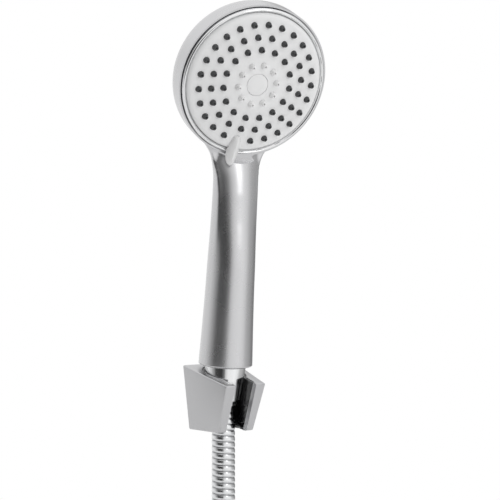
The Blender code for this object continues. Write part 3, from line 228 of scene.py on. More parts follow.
def grain(made, scale, strength, distance, detail=4.0):
    """Fine noise as bump: the tooth of a blasted, moulded or rubbery skin."""
    nodes, links = made.node_tree.nodes, made.node_tree.links
    where = nodes.new("ShaderNodeTexCoord")
    noise = nodes.new("ShaderNodeTexNoise")
    noise.inputs["Scale"].default_value = scale
    noise.inputs["Detail"].default_value = detail
    bump = nodes.new("ShaderNodeBump")
    bump.inputs["Strength"].default_value = strength
    bump.inputs["Distance"].default_value = distance
    links.new(where.outputs["Object"], noise.inputs["Vector"])
    links.new(noise.outputs["Fac"], bump.inputs["Height"])
    links.new(bump.outputs["Normal"], nodes["Principled BSDF"].inputs["Normal"])


# The chrome is painted from its own colour to near black towards the bottom of each groove, by the groove's
# depth: painted shade in the grooves, not a darker metal.
RIDGE_COLOUR = (0.86, 0.87, 0.88)
PAINTED_GROOVE_SHADE = (0.10, 0.10, 0.11)
hose_chrome = finish("hose_chrome", RIDGE_COLOUR, 0.13, 1.0)
mottle(hose_chrome, 900, 0.09, 0.2)
hose_nodes = hose_chrome.node_tree.nodes
hose_depth = hose_nodes.new("ShaderNodeAttribute")
hose_depth.attribute_name = "groove"
hose_groove_shade = hose_nodes.new("ShaderNodeMix")
hose_groove_shade.data_type = "RGBA"
hose_groove_shade.inputs[6].default_value = (*RIDGE_COLOUR, 1)
hose_groove_shade.inputs[7].default_value = (*PAINTED_GROOVE_SHADE, 1)
hose_chrome.node_tree.links.new(hose_depth.outputs["Fac"], hose_groove_shade.inputs[0])
hose_chrome.node_tree.links.new(hose_groove_shade.outputs[2], hose_nodes["Principled BSDF"].inputs["Base Color"])


def node_tree(name, **inputs):
    """An empty Geometry Nodes tree with these named inputs beside its geometry."""
    tree = bpy.data.node_groups.new(name, "GeometryNodeTree")
    tree.interface.new_socket("Geometry", in_out="INPUT", socket_type="NodeSocketGeometry")
    tree.interface.new_socket("Geometry", in_out="OUTPUT", socket_type="NodeSocketGeometry")
    for label, kind in inputs.items():
        tree.interface.new_socket(label, in_out="INPUT", socket_type="NodeSocket" + kind)
    return tree, tree.nodes.new("NodeGroupInput"), tree.nodes.new("NodeGroupOutput")


def plain_mesh(host):
    """The host's mesh with its modifiers applied. The host is removed."""
    bpy.context.view_layer.update()
    made = bpy.data.meshes.new_from_object(host.evaluated_get(bpy.context.evaluated_depsgraph_get()))
    bpy.data.objects.remove(host)
    return made


def worked(host, tree, **values):
    """The host run through a tree with these inputs, as a plain mesh. The host is removed."""
    modifier = host.modifiers.new(tree.name, "NODES")
    modifier.node_group = tree
    for item in tree.interface.items_tree:
        if item.in_out == "INPUT" and item.name in values:
            modifier[item.identifier] = values[item.name]
    return plain_mesh(host)


def math_node(tree, operation, one, two=None):
    """One Math node on two sockets or numbers; gives its output."""
    made = tree.nodes.new("ShaderNodeMath")
    made.operation = operation
    for socket, value in zip(made.inputs, (one, two)):
        if isinstance(value, (int, float)):
            socket.default_value = value
        elif value is not None:
            tree.links.new(value, socket)
    return made.outputs[0]


tree, given, result = node_tree(
    "ridged_hose", Radius="Float", Pitch="Float", Depth="Float", Sides="Int", Rings="Int", Material="Material"
)
link = tree.links.new
as_curve = tree.nodes.new("GeometryNodeMeshToCurve")
resample = tree.nodes.new("GeometryNodeResampleCurve")
resample.mode = "LENGTH"
keep_path = tree.nodes.new("GeometryNodeCaptureAttribute")
keep_path.capture_items.new("FLOAT", "along")
keep_path.capture_items.new("VECTOR", "centre")
spline = tree.nodes.new("GeometryNodeSplineParameter")
path_point = tree.nodes.new("GeometryNodeInputPosition")
ring = tree.nodes.new("GeometryNodeCurvePrimitiveCircle")
keep_ring = tree.nodes.new("GeometryNodeCaptureAttribute")
keep_ring.capture_items.new("FLOAT", "round")
ring_index = tree.nodes.new("GeometryNodeInputIndex")
sweep = tree.nodes.new("GeometryNodeCurveToMesh")
sweep.inputs["Fill Caps"].default_value = True
link(given.outputs["Geometry"], as_curve.inputs["Mesh"])
link(as_curve.outputs["Curve"], resample.inputs["Curve"])
link(math_node(tree, "DIVIDE", given.outputs["Pitch"], given.outputs["Rings"]), resample.inputs["Length"])
link(resample.outputs["Curve"], keep_path.inputs["Geometry"])
link(spline.outputs["Length"], keep_path.inputs["along"])
link(path_point.outputs["Position"], keep_path.inputs["centre"])
link(given.outputs["Sides"], ring.inputs["Resolution"])
link(given.outputs["Radius"], ring.inputs["Radius"])
link(ring.outputs["Curve"], keep_ring.inputs["Geometry"])
link(math_node(tree, "DIVIDE", ring_index.outputs[0], given.outputs["Sides"]), keep_ring.inputs["round"])
link(keep_path.outputs["Geometry"], sweep.inputs["Curve"])
link(keep_ring.outputs["Geometry"], sweep.inputs["Profile Curve"])
turns_along = math_node(tree, "DIVIDE", keep_path.outputs["along"], given.outputs["Pitch"])
phase = math_node(tree, "FRACT", math_node(tree, "ADD", turns_along, keep_ring.outputs["round"]))
doubled = math_node(tree, "MULTIPLY", phase, 2)
from_middle = math_node(tree, "ABSOLUTE", math_node(tree, "SUBTRACT", doubled, 1))
groove = math_node(tree, "POWER", from_middle, 4)
sunk = math_node(tree, "MULTIPLY", groove, given.outputs["Depth"])
shrink = math_node(tree, "DIVIDE", sunk, given.outputs["Radius"])
outward = tree.nodes.new("ShaderNodeVectorMath")
outward.operation = "SUBTRACT"
inward = tree.nodes.new("ShaderNodeVectorMath")
inward.operation = "SCALE"
mesh_point = tree.nodes.new("GeometryNodeInputPosition")
move = tree.nodes.new("GeometryNodeSetPosition")
# The groove's depth is kept on the mesh for the chrome's painted shade, darker deeper in each groove.
store = tree.nodes.new("GeometryNodeStoreNamedAttribute")
store.data_type = "FLOAT"
store.domain = "POINT"
store.inputs["Name"].default_value = "groove"
smooth = tree.nodes.new("GeometryNodeSetShadeSmooth")
realise = tree.nodes.new("GeometryNodeRealizeInstances")
paint = tree.nodes.new("GeometryNodeSetMaterial")
link(keep_path.outputs["centre"], outward.inputs[0])
link(mesh_point.outputs["Position"], outward.inputs[1])
link(outward.outputs["Vector"], inward.inputs[0])
link(shrink, inward.inputs["Scale"])
link(sweep.outputs["Mesh"], move.inputs["Geometry"])
link(inward.outputs["Vector"], move.inputs["Offset"])
link(move.outputs["Geometry"], store.inputs["Geometry"])
link(groove, store.inputs["Value"])
link(store.outputs["Geometry"], smooth.inputs["Geometry"])
link(smooth.outputs["Geometry"], realise.inputs["Geometry"])
link(realise.outputs["Geometry"], paint.inputs["Geometry"])
link(given.outputs["Material"], paint.inputs["Material"])
link(paint.outputs["Geometry"], result.inputs["Geometry"])

hose_path = smooth_path(hose_route, 3.5 * MM)
path_mesh = bpy.data.meshes.new("hose_path")
path_mesh.from_pydata(hose_path, [(i, i + 1) for i in range(len(hose_path) - 1)], [])
hose_mesh = worked(
    in_scene("hose_path", path_mesh),
    tree,
    Radius=HOSE_DIAMETER / 2,
    Pitch=RIDGE_PITCH,
    Depth=RIDGE_DEPTH,
    Sides=HOSE_SIDES,
    Rings=RINGS_A_PITCH,
    Material=hose_chrome,
)


def piece(name, mesh, material, body, slot, *nodes):
    """A finished piece in the scene, riding on its body and standing for the CAD nodes it replaces."""
    made = in_scene(name, mesh)
    mesh.materials.clear()
    mesh.materials.append(material)
    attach(made, body)
    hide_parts(*nodes)
    return made


ridged_hose = piece(
    "ridged_hose", hose_mesh, hose_chrome, "hose_set", "hose_metal", "hose", "hose_coil", "hose_end"
)

# Studio: a pale table under the whole object, in a white tent. The tent is hung with a broad pale panel
# on the right of the camera, a dark one on its left and a white one behind, which the metal reflects.

TABLE_RADIUS = 1.0
TABLE_DROP = 12 * MM  # from the coil's lowest point


def mesh_from(bm, name, place=None):
    """The bmesh as a new mesh, put in its place. The bmesh is freed."""
    made = bpy.data.meshes.new(name)
    bm.to_mesh(made)
    bm.free()
    if place:
        made.transform(place)
    return made


table_white = finish("table_white", (0.88, 0.88, 0.88), 0.8)
mottle(table_white, 6, (0.87, 0.87, 0.87), (0.89, 0.89, 0.89), "Base Color")
bm = bmesh.new()
bmesh.ops.create_circle(bm, cap_ends=True, segments=96, radius=TABLE_RADIUS)
bmesh.ops.translate(bm, verts=bm.verts, vec=(0, 0, cad_low[2] - TABLE_DROP))
table_mesh = mesh_from(bm, "table")
table_mesh.materials.append(table_white)
table = in_scene("table", table_mesh)

# Angle from the camera round to its right, in degrees, then how bright the tent is there
TENT_PANELS = (
    (-180, 0.95),
    (-105, 0.82),
    (-85, 0.62),
    (-68, 0.34),
    (-50, 0.06),
    (-18, 0.04),
    (-4, 0.16),
    (8, 0.7),
    (20, 0.9),
    (42, 0.95),
    (58, 1.0),
    (72, 0.9),
    (100, 0.5),
    (150, 0.24),
    (172, 0.3),
    (180, 1.0),
)
ROOF_LEVEL = 0.95
ROOF_START = 0.3  # how far up or down the panels begin to give way to the roof and the floor
ROOF_END = 0.62
world = bpy.data.worlds.new("tent")
scene.world = world
world.use_nodes = True
tent = world.node_tree
tent_link = tent.links.new
direction = tent.nodes.new("ShaderNodeTexCoord")
part = tent.nodes.new("ShaderNodeSeparateXYZ")
tent_link(direction.outputs["Generated"], part.inputs[0])
bearing = math_node(tent, "ARCTAN2", part.outputs["Y"], part.outputs["X"])
facing = math.atan2(-ahead.y, -ahead.x)
round_tent = math_node(tent, "DIVIDE", math_node(tent, "SUBTRACT", bearing, facing - math.pi), math.tau)
panels = tent.nodes.new("ShaderNodeValToRGB")
panels.color_ramp.interpolation = "EASE"
tent_link(math_node(tent, "FRACT", round_tent), panels.inputs["Fac"])
stops = panels.color_ramp.elements
brightest = max(level for degrees, level in TENT_PANELS)
while len(stops) < len(TENT_PANELS):
    stops.new(0.5)
for stop, (degrees, level) in zip(stops, TENT_PANELS):
    stop.position = degrees / 360 + 0.5
for stop, (degrees, level) in zip(stops, TENT_PANELS):
    stop.color = (*(level / brightest for _ in range(3)), 1)
height = math_node(tent, "ABSOLUTE", part.outputs["Z"])
roof = tent.nodes.new("ShaderNodeMapRange")
roof.interpolation_type = "SMOOTHSTEP"
roof.inputs["From Min"].default_value = ROOF_START
roof.inputs["From Max"].default_value = ROOF_END
tent_link(height, roof.inputs["Value"])
tent_tone = tent.nodes.new("ShaderNodeMix")
tent_tone.data_type = "RGBA"
tent_tone.inputs[7].default_value = (*(ROOF_LEVEL / brightest for _ in range(3)), 1)
tent_link(roof.outputs["Result"], tent_tone.inputs[0])
tent_link(panels.outputs["Color"], tent_tone.inputs[6])
tent.nodes["Background"].inputs["Strength"].default_value = brightest
tent_link(tent_tone.outputs[2], tent.nodes["Background"].inputs["Color"])
white = tent.nodes.new("ShaderNodeBackground")
white.inputs["Color"].default_value = (1, 1, 1, 1)
seen = tent.nodes.new("ShaderNodeLightPath")
behind = tent.nodes.new("ShaderNodeMixShader")
tent_link(seen.outputs["Is Camera Ray"], behind.inputs[0])
tent_link(tent.nodes["Background"].outputs[0], behind.inputs[1])
tent_link(white.outputs[0], behind.inputs[2])
tent_link(behind.outputs[0], tent.nodes["World Output"].inputs["Surface"])

HEAD_MIDDLE = Vector((-0.004, -0.049, 0.15))


def soft_box(name, sideways, nearer, height, width, tall, watts):
    """An area light placed to the camera's right, towards it and up from the head, and aimed at the head."""
    data = bpy.data.lights.new(name, "AREA")
    data.shape = "RECTANGLE"
    data.size = width
    data.size_y = tall
    data.energy = watts
    made = in_scene(name, data)
    level = Vector((-ahead.x, -ahead.y, 0)).normalized()
    made.location = HEAD_MIDDLE + to_right * sideways + level * nearer + Vector((0, 0, height))
    made.rotation_euler = (HEAD_MIDDLE - made.location).to_track_quat("-Z", "Y").to_euler()


soft_box("right_box", sideways=0.9, nearer=1.0, height=0.5, width=0.5, tall=0.7, watts=1.3)

# Wall holder: a die-cast zinc block with a satin nickel finish, narrower in front and below, its
# edges rounded over and bright from polishing. Two countersunk screws fix it to the wall, and a
# leaning conical bore with a slot in front takes the cone nut and the hose.

HOLDER_HEIGHT = 38.7 * MM
HOLDER_DEPTH = 36.95 * MM
HOLDER_HALF_WIDTH = 19.3 * MM
HALF_HEIGHT = HOLDER_HEIGHT / 2
FRONT_TOP_Z = HALF_HEIGHT - HOLDER_DEPTH * math.tan(math.radians(15.6))
FRONT_RAKE = 9.7 * MM
NARROWING_FRONT = 4.7 * MM
NARROWING_DOWN = 4.6 * MM
FRONT_LIP = 3.4 * MM
PAST_FRONT = -5 * MM  # a lip below zero takes a cut out through the front
LINER_WALL = 1.0 * MM
GAP = 0.3 * MM
SLOT_HALF = 7.65 * MM
NUT_TOP_RADIUS = 12.2 * MM
NUT_BOTTOM_RADIUS = 9.6 * MM
BORE_SIDES = 96
EDGE_ROUNDING = 0.9 * MM


def block_half_width(y, z):
    """Half the block's width at a distance -y from the wall and a height z."""
    down = (HALF_HEIGHT - z) / HOLDER_HEIGHT
    at_rear = HOLDER_HALF_WIDTH - NARROWING_DOWN * down
    return at_rear - NARROWING_FRONT * (1 - 0.45 * down) * -y / HOLDER_DEPTH


def block_front(z):
    """The raked front face's y at a height z."""
    return -HOLDER_DEPTH + FRONT_RAKE * (FRONT_TOP_Z - z) / (FRONT_TOP_Z + HALF_HEIGHT)


def hull_mesh(name, corners):
    """The closed flat-sided body round these corners."""
    bm = bmesh.new()
    bmesh.ops.convex_hull(bm, input=[bm.verts.new(corner) for corner in corners])
    bmesh.ops.dissolve_limit(bm, angle_limit=0.001, verts=bm.verts, edges=bm.edges)
    bmesh.ops.recalc_face_normals(bm, faces=bm.faces)
    return mesh_from(bm, name)


def block_mesh(name, inset=0.0):
    """The holder's outer block, or one drawn in by an inset at the top and bottom."""
    corners = []
    for side in (-1, 1):
        for y, z in ((0, HALF_HEIGHT), (0, -HALF_HEIGHT)):
            corners.append((side * block_half_width(y, z), y, z - math.copysign(inset, z)))
        top_y, bottom_y = block_front(FRONT_TOP_Z), block_front(-HALF_HEIGHT)
        corners.append((side * block_half_width(top_y, HALF_HEIGHT), top_y, FRONT_TOP_Z - inset))
        corners.append((side * block_half_width(bottom_y, -HALF_HEIGHT), bottom_y, -HALF_HEIGHT + inset))
    return hull_mesh(name, corners)


def slot_mesh(name, half_width, front_lip):
    """A slab that opens the bore to the front, up to front_lip behind the raked front face."""
    corners = []
    for side in (-1, 1):
        for z in (-HALF_HEIGHT - 6 * MM, HALF_HEIGHT + 6 * MM):
            corners.append((side * half_width, SEAT_POINT.y + 2 * MM, z))
            corners.append((side * half_width, block_front(z) + front_lip, z))
    return hull_mesh(name, corners)


def loft_mesh(name, rings):
    """A closed body through rings of equally many points, capped at both ends."""
    bm = bmesh.new()
    rows = [[bm.verts.new(point) for point in ring] for ring in rings]
    for low, high in zip(rows, rows[1:]):
        for i in range(len(low)):
            j = (i + 1) % len(low)
            bm.faces.new((low[i], low[j], high[j], high[i]))
    bm.faces.new(rows[0])
    bm.faces.new(rows[-1])
    bmesh.ops.recalc_face_normals(bm, faces=bm.faces)
    return mesh_from(bm, name)


def seat_mesh(name, extra):
    """The seat's space, grown by extra: a cone that leans with the handle, then a bore round the hose."""
    rings = []
    for depth in (-9 * MM, 0, NUT_LENGTH / 2, NUT_LENGTH + 1.5 * MM):
        centre = SEAT_POINT - SEAT_AXIS * depth
        share = min(depth, NUT_LENGTH) / NUT_LENGTH
        rings.append((centre, NUT_TOP_RADIUS - (NUT_TOP_RADIUS - NUT_BOTTOM_RADIUS) * share + GAP + extra))
    for z in (-HALF_HEIGHT / 2, -HALF_HEIGHT - 4 * MM):
        rings.append((Vector((0, HOSE_Y, z)), NUT_BOTTOM_RADIUS + GAP + extra))
    points = []
    for centre, radius in rings[::-1]:
        angles = [math.tau * i / BORE_SIDES for i in range(BORE_SIDES)]
        points.append([centre + Vector((radius * math.cos(a), radius * math.sin(a), 0)) for a in angles])
    return loft_mesh(name, points)


def carved(mesh, *steps):
    """The mesh after these Booleans, each an (operation, other mesh) pair, as a plain mesh."""
    host = in_scene("carving", mesh)
    tools = [in_scene("cutter", other) for operation, other in steps]
    for tool, (operation, other) in zip(tools, steps):
        cut = host.modifiers.new(operation, "BOOLEAN")
        cut.operation = operation
        cut.solver = "EXACT"
        cut.object = tool
    made = plain_mesh(host)
    for tool in tools:
        bpy.data.objects.remove(tool)
    made.materials.clear()
    return made


def shaded(mesh, sharp):
    """The mesh shaded smooth, but for its edges that turn by more than this many degrees."""
    mesh.shade_smooth()
    mesh.set_sharp_from_angle(angle=math.radians(sharp))
    return mesh


def rounded(mesh, width, segments=4, angle=30, sharp=40):
    """The mesh with its edges rounded over by a bevel and shaded smooth, as a plain mesh."""
    host = in_scene("rounding", mesh)
    edges = host.modifiers.new("edges", "BEVEL")
    edges.width = width
    edges.segments = segments
    edges.limit_method = "ANGLE"
    edges.angle_limit = math.radians(angle)
    edges.harden_normals = False
    return shaded(plain_mesh(host), sharp)


satin_zinc = finish("satin_zinc", (0.60, 0.60, 0.61), 0.36, 1.0)
mottle(satin_zinc, 60, 0.34, 0.38)
grain(satin_zinc, 3500, 0.03, 0.00002)

SCREW_HEIGHT = 10 * MM  # over and under the holder's middle
SHANK_RADIUS = 2.1 * MM
HEAD_HOLE_RADIUS = 3.8 * MM
screw_holes = []
for height in (SCREW_HEIGHT, -SCREW_HEIGHT):
    bm = bmesh.new()
    for rear, front, depth, middle in (
        (SHANK_RADIUS, SHANK_RADIUS, 30 * MM, 0),
        (SHANK_RADIUS, HEAD_HOLE_RADIUS, 1.5 * MM, 1.45 * MM),
        (HEAD_HOLE_RADIUS, HEAD_HOLE_RADIUS, 9 * MM, 6.7 * MM),
    ):
        drilled = bmesh.ops.create_cone(
            bm, cap_ends=True, segments=48, radius1=rear, radius2=front, depth=depth
        )
        bmesh.ops.translate(bm, verts=drilled["verts"], vec=(0, 0, middle))
    bmesh.ops.rotate(bm, verts=bm.verts, cent=(0, 0, 0), matrix=Matrix.Rotation(math.pi / 2, 3, "X"))
    bmesh.ops.translate(bm, verts=bm.verts, vec=(0, 0, height))
    screw_holes.append(("DIFFERENCE", mesh_from(bm, "screw_hole")))

holder_mesh = carved(
    rounded(block_mesh("holder"), EDGE_ROUNDING, 5),
    ("DIFFERENCE", seat_mesh("bore", LINER_WALL + GAP)),
    ("DIFFERENCE", slot_mesh("lined_slot", SLOT_HALF + LINER_WALL + GAP, FRONT_LIP)),
    ("DIFFERENCE", slot_mesh("open_slot", SLOT_HALF, PAST_FRONT)),
    *screw_holes,
)
holder_mesh.set_sharp_from_angle(angle=math.radians(35))
piece("holder_block", holder_mesh, satin_zinc, "holder", "holder_metal", "holder_body")

# Liner: a glossy black plastic skin pressed into the holder's bore, with two lips that line the slot,
# so that metal never rubs on the chromed nut and hose. Its black also stands in for the shade and dark
# reflection inside the bore, so it is partly painted shade.

# Near black: the liner's own colour, and also painted shade for the dark inside of the bore.
glossy_black = finish("glossy_black", (0.008, 0.008, 0.009), 0.12)
mottle(glossy_black, 260, 0.09, 0.17)
glossy_black.node_tree.nodes["Principled BSDF"].inputs["Coat Weight"].default_value = 0.4
liner_mesh = carved(
    seat_mesh("liner", LINER_WALL),
    ("UNION", slot_mesh("liner_lips", SLOT_HALF + LINER_WALL, FRONT_LIP + GAP)),
    ("INTERSECT", block_mesh("liner_block", LINER_WALL / 2)),
    ("DIFFERENCE", seat_mesh("seat_space", 0)),
    ("DIFFERENCE", slot_mesh("hose_way", SLOT_HALF, PAST_FRONT)),
)
piece("liner_skin", shaded(liner_mesh, 30), glossy_black, "holder", "liner_black", "seat_liner")

# Handset shell: handle and head in one moulding with a satin nickel finish. The round handle is cut
# to a low crown in front below the head, with a crease on each side that fades downwards.
# A section lists its height, half width, depth behind and in front of the axis, and how much it is cut.

HANDSET_TURN = math.radians(-13.9)
FACE_TILT = math.radians(17.2)
FACE_TURN = math.radians(-9.3)
HANDLE_END_RADIUS = 16.0 * MM
HEAD_RADIUS = 45.4 * MM
HEAD_REACH = 167.8 * MM
HEAD_OFFSET = 16.4 * MM
HEAD_BACK = 23.4 * MM
HEAD_SIDE = 8.5 * MM
HEAD_WALL = 2.6 * MM
LIP_WIDTH = 1.3 * MM
LIP_DEPTH = 4.0 * MM
NECK_TOP = 127.03 * MM
FRONT_CROWN = 0.38  # height of the cut front's bulge, as a share of its half width
LOW_CROWN_LEVEL = 0.6  # share of the bulge that stands over the cut's own depth
TOP_CROWN_LEVEL = 0.1
LEVEL_START = 0.80  # share of the neck's height where that share starts to fall
LEVEL_LENGTH = 0.16
GRIP_ROOM = 3 * MM  # how far the uncut handle starts below its finished end
HANDLE_SECTIONS = (
    (0.0, 1.0, 1.0, 0.44, 0.0),
    (0.012, 1.0, 1.0, 0.44, 0.0),
    (0.16, 0.955, 0.955, 0.44, 0.0),
    (0.34, 0.91, 0.91, 0.44, 0.0),
    (0.46, 0.89, 0.89, 0.44, 0.0),
    (0.55, 0.87, 0.87, 0.44, 0.16),
    (0.62, 0.855, 0.855, 0.44, 0.42),
    (0.69, 0.845, 0.845, 0.44, 0.72),
    (0.79, 0.8375, 0.8375, 0.42, 0.96),
    (0.88, 0.855, 0.8375, 0.37, 1.0),
    (0.94, 0.94, 0.8375, 0.28, 1.0),
    (0.985, 1.06, 0.83, 0.20, 1.0),
    (1.025, 1.30, 0.80, 0.13, 1.0),
    (1.07, 1.58, 0.78, 0.05, 1.0),
    (1.14, 1.60, 0.72, 0.01, 1.0),
)
handset_place = (
    Matrix.Translation(SEAT_POINT)
    @ Matrix.Rotation(HANDLE_TILT, 4, "X")
    @ Matrix.Rotation(HANDSET_TURN, 4, "Z")
)
head_place = (
    handset_place
    @ Matrix.Translation((0, -HEAD_OFFSET, HEAD_REACH))
    @ Matrix.Rotation(math.pi / 2 + FACE_TILT, 4, "X")
)
face_place = head_place @ Matrix.Rotation(FACE_TURN, 4, "Z")


def section_at(share):
    """The handle's section at this share of the neck's height, on a smooth curve through the listed ones."""
    rows = HANDLE_SECTIONS
    k = max(i for i in range(len(rows) - 1) if rows[i][0] <= share)
    before, start, end = rows[max(0, k - 1)], rows[k], rows[k + 1]
    after = rows[min(len(rows) - 1, k + 2)]
    span = end[0] - start[0]
    t = (share - start[0]) / span
    values = []
    for n in (1, 2, 3, 4):
        slope_in = (end[n] - before[n]) / (end[0] - before[0]) * span if k else 0.0
        slope_out = (after[n] - start[n]) / (after[0] - start[0]) * span
        if (end[n] - start[n]) * slope_in <= 0 or start[n] == end[n]:
            slope_in = 0.0
        if (end[n] - start[n]) * slope_out <= 0 or start[n] == end[n]:
            slope_out = 0.0
        curve = (2 * t**3 - 3 * t**2 + 1) * start[n] + (t**3 - 2 * t**2 + t) * slope_in
        values.append(curve + (3 * t**2 - 2 * t**3) * end[n] + (t**3 - t**2) * slope_out)
    return values


def handle_mesh(name, count=128, steps=150):
    """The handle as a body through many level sections, from just under its end to inside the head."""
    rings = []
    for step in range(steps + 1):
        share = HANDLE_SECTIONS[-1][0] * step / steps
        half_width, back, front, amount = section_at(min(share, HANDLE_SECTIONS[-1][0] - 1e-6))
        cut_half = HANDLE_END_RADIUS * half_width * math.sqrt(1 - (front / back) ** 2)
        crown = cut_half * FRONT_CROWN
        fallen = min(1.0, max(0.0, (share - LEVEL_START) / LEVEL_LENGTH))
        level = LOW_CROWN_LEVEL + (TOP_CROWN_LEVEL - LOW_CROWN_LEVEL) * fallen
        ring = []
        for i in range(count):
            angle = math.tau * (i + 0.5) / count
            x = HANDLE_END_RADIUS * half_width * math.sin(angle)
            y = HANDLE_END_RADIUS * back * math.cos(angle)
            height = share * NECK_TOP if step else -GRIP_ROOM
            across = min(1.0, abs(x) / cut_half)
            cut_y = max(y, min(0.0, -HANDLE_END_RADIUS * front - crown * (level - across**2)))
            ring.append((x, y + (cut_y - y) * amount, height))
        rings.append(ring)
    return loft_mesh(name, rings)


def turned_mesh(name, profile, steps=96, place=None):
    """A closed outline of (radius, height) points turned about Z, put in its place."""
    bm = bmesh.new()
    points = [bm.verts.new((radius, 0, height)) for radius, height in profile]
    edges = [bm.edges.new(pair) for pair in zip(points, points[1:])]
    if profile[0][0] > 0 or profile[-1][0] > 0:
        edges.append(bm.edges.new((points[-1], points[0])))
    bmesh.ops.spin(
        bm,
        geom=points + edges,
        axis=(0, 0, 1),
        cent=(0, 0, 0),
        angle=math.tau,
        steps=steps,
        use_merge=True,
    )
    bmesh.ops.remove_doubles(bm, verts=bm.verts, dist=1e-6)
    bmesh.ops.recalc_face_normals(bm, faces=bm.faces)
    return mesh_from(bm, name, place)


def softened(profile, cuts=2):
    """The outline with its corners cut twice over, so that it turns smoothly; its ends stay."""
    for _ in range(cuts):
        smoother = [profile[0]]
        for (r1, h1), (r2, h2) in zip(profile, profile[1:]):
            smoother.append((r1 * 0.75 + r2 * 0.25, h1 * 0.75 + h2 * 0.25))
            smoother.append((r1 * 0.25 + r2 * 0.75, h1 * 0.25 + h2 * 0.75))
        smoother.append(profile[-1])
        profile = smoother
    return profile


bowl_outline = softened(
    [
        (0, -HEAD_BACK),
        (HEAD_RADIUS * 0.30, -HEAD_BACK + 0.2 * MM),
        (HEAD_RADIUS * 0.58, -HEAD_BACK + 1.2 * MM),
        (HEAD_RADIUS * 0.82, -HEAD_BACK + 3.6 * MM),
        (HEAD_RADIUS * 0.96, -HEAD_BACK + 7.4 * MM),
        (HEAD_RADIUS, -HEAD_SIDE - 2.6 * MM),
        (HEAD_RADIUS, -HEAD_SIDE + 3.0 * MM),
        (HEAD_RADIUS, 3 * MM),
    ]
)
bowl_outline.append((0, 3 * MM))
bowl = turned_mesh("bowl", bowl_outline, 128, handset_place.inverted() @ head_place)

SHELL_GRID = 0.6 * MM
shell_host = in_scene("shell", carved(handle_mesh("handle"), ("UNION", bowl)))
remesh = shell_host.modifiers.new("one_skin", "REMESH")
remesh.mode = "VOXEL"
remesh.voxel_size = SHELL_GRID
relax = shell_host.modifiers.new("relax", "SMOOTH")
relax.factor = 0.5
relax.iterations = 24
shell_mesh = plain_mesh(shell_host)

FLOOR = -HEAD_BACK + 8.9 * MM
FLOOR_CHAMFER = 2.4 * MM
cavity_outline = [
    (0, FLOOR),
    (HEAD_RADIUS - HEAD_WALL - FLOOR_CHAMFER, FLOOR),
    (HEAD_RADIUS - HEAD_WALL, FLOOR + FLOOR_CHAMFER),
    (HEAD_RADIUS - HEAD_WALL, -LIP_DEPTH),
    (HEAD_RADIUS - LIP_WIDTH, -LIP_DEPTH),
    (HEAD_RADIUS - LIP_WIDTH, -0.35 * MM),
    (HEAD_RADIUS - LIP_WIDTH + 0.3 * MM, 0.0),
    (HEAD_RADIUS + 4 * MM, 0.0),
    (HEAD_RADIUS + 4 * MM, 12 * MM),
    (0, 12 * MM),
]
cavity = turned_mesh("cavity", cavity_outline, 160, handset_place.inverted() @ head_place)
handle_cut = turned_mesh(
    "handle_cut",
    [
        (0, 20 * MM),
        (9 * MM, 20 * MM),
        (9 * MM, 13 * MM),
        (11.3 * MM, 13 * MM),
        (11.3 * MM, 0.4 * MM),
        (11.7 * MM, 0),
        (HANDLE_END_RADIUS - 0.5 * MM, 0),
        (HANDLE_END_RADIUS + 0.4 * MM, 0.9 * MM),
        (HANDLE_END_RADIUS + 4 * MM, 0.9 * MM),
        (HANDLE_END_RADIUS + 4 * MM, -8 * MM),
        (0, -8 * MM),
    ],
    128,
)
shell_mesh = carved(shell_mesh, ("DIFFERENCE", cavity), ("DIFFERENCE", handle_cut))
shell_mesh.transform(handset_place)
shaded(shell_mesh, 48)

satin_nickel = finish("satin_nickel", (0.66, 0.66, 0.67), 0.27, 1.0)
mottle(satin_nickel, 45, 0.262, 0.288)
piece("shell", shell_mesh, satin_nickel, "handset", "satin_shell", "handset_shell")

# Face plate: a pale grey moulded plastic dome with a very fine tooth. It carries the spray nozzles in
# three rings and turns with the lever. A flush cap of the same plastic covers the screw in its middle.

PLATE_RADIUS = 41.3 * MM
PLATE_THICKNESS = 1.8 * MM
PLATE_CROWN = 6.7 * MM
PLATE_DOME = 3.4 * MM
EDGE_START = 38.7 * MM
EDGE_DROP = 1.2 * MM
CAP_RADIUS = 6.4 * MM
# Radius, places, first place used
RINGS = ((34.9 * MM, 25, 1), (27.73 * MM, 20, 0), (20.56 * MM, 15, 0))
MASSAGE_RING = 11.75 * MM
MASSAGE_COUNT = 10
NOZZLE_BASE = 1.8 * MM
MASSAGE_BASE = 1.7 * MM


def plate_height(radius):
    """Height of the plate's outer surface over the shell's lip."""
    edge = max(0.0, radius - EDGE_START) / (PLATE_RADIUS - EDGE_START)
    return PLATE_CROWN - PLATE_DOME * (radius / EDGE_START) ** 2 - EDGE_DROP * edge**2


def dome(inner, outer, drop, steps=24):
    """Points along the dome between two radii, this far under the plate's surface."""
    radii = [inner + (outer - inner) * i / steps for i in range(steps + 1)]
    return [(radius, plate_height(radius) - drop) for radius in radii]


def pegs_mesh(name, spots, radius, sides=32):
    """Separate round pegs through the plate, one on each (radius, angle) spot."""
    bm = bmesh.new()
    for reach, angle in spots:
        peg = bmesh.ops.create_cone(
            bm, cap_ends=True, segments=sides, radius1=radius, radius2=radius, depth=6 * MM
        )
        spot = (reach * math.cos(angle), reach * math.sin(angle), plate_height(reach) - 1 * MM)
        bmesh.ops.translate(bm, verts=peg["verts"], vec=spot)
    return mesh_from(bm, name)


def spots_on(reach, count, first=0):
    """(radius, angle) of each used place on a ring."""
    return [(reach, -math.pi / 2 + math.tau * i / count) for i in range(first, count)]


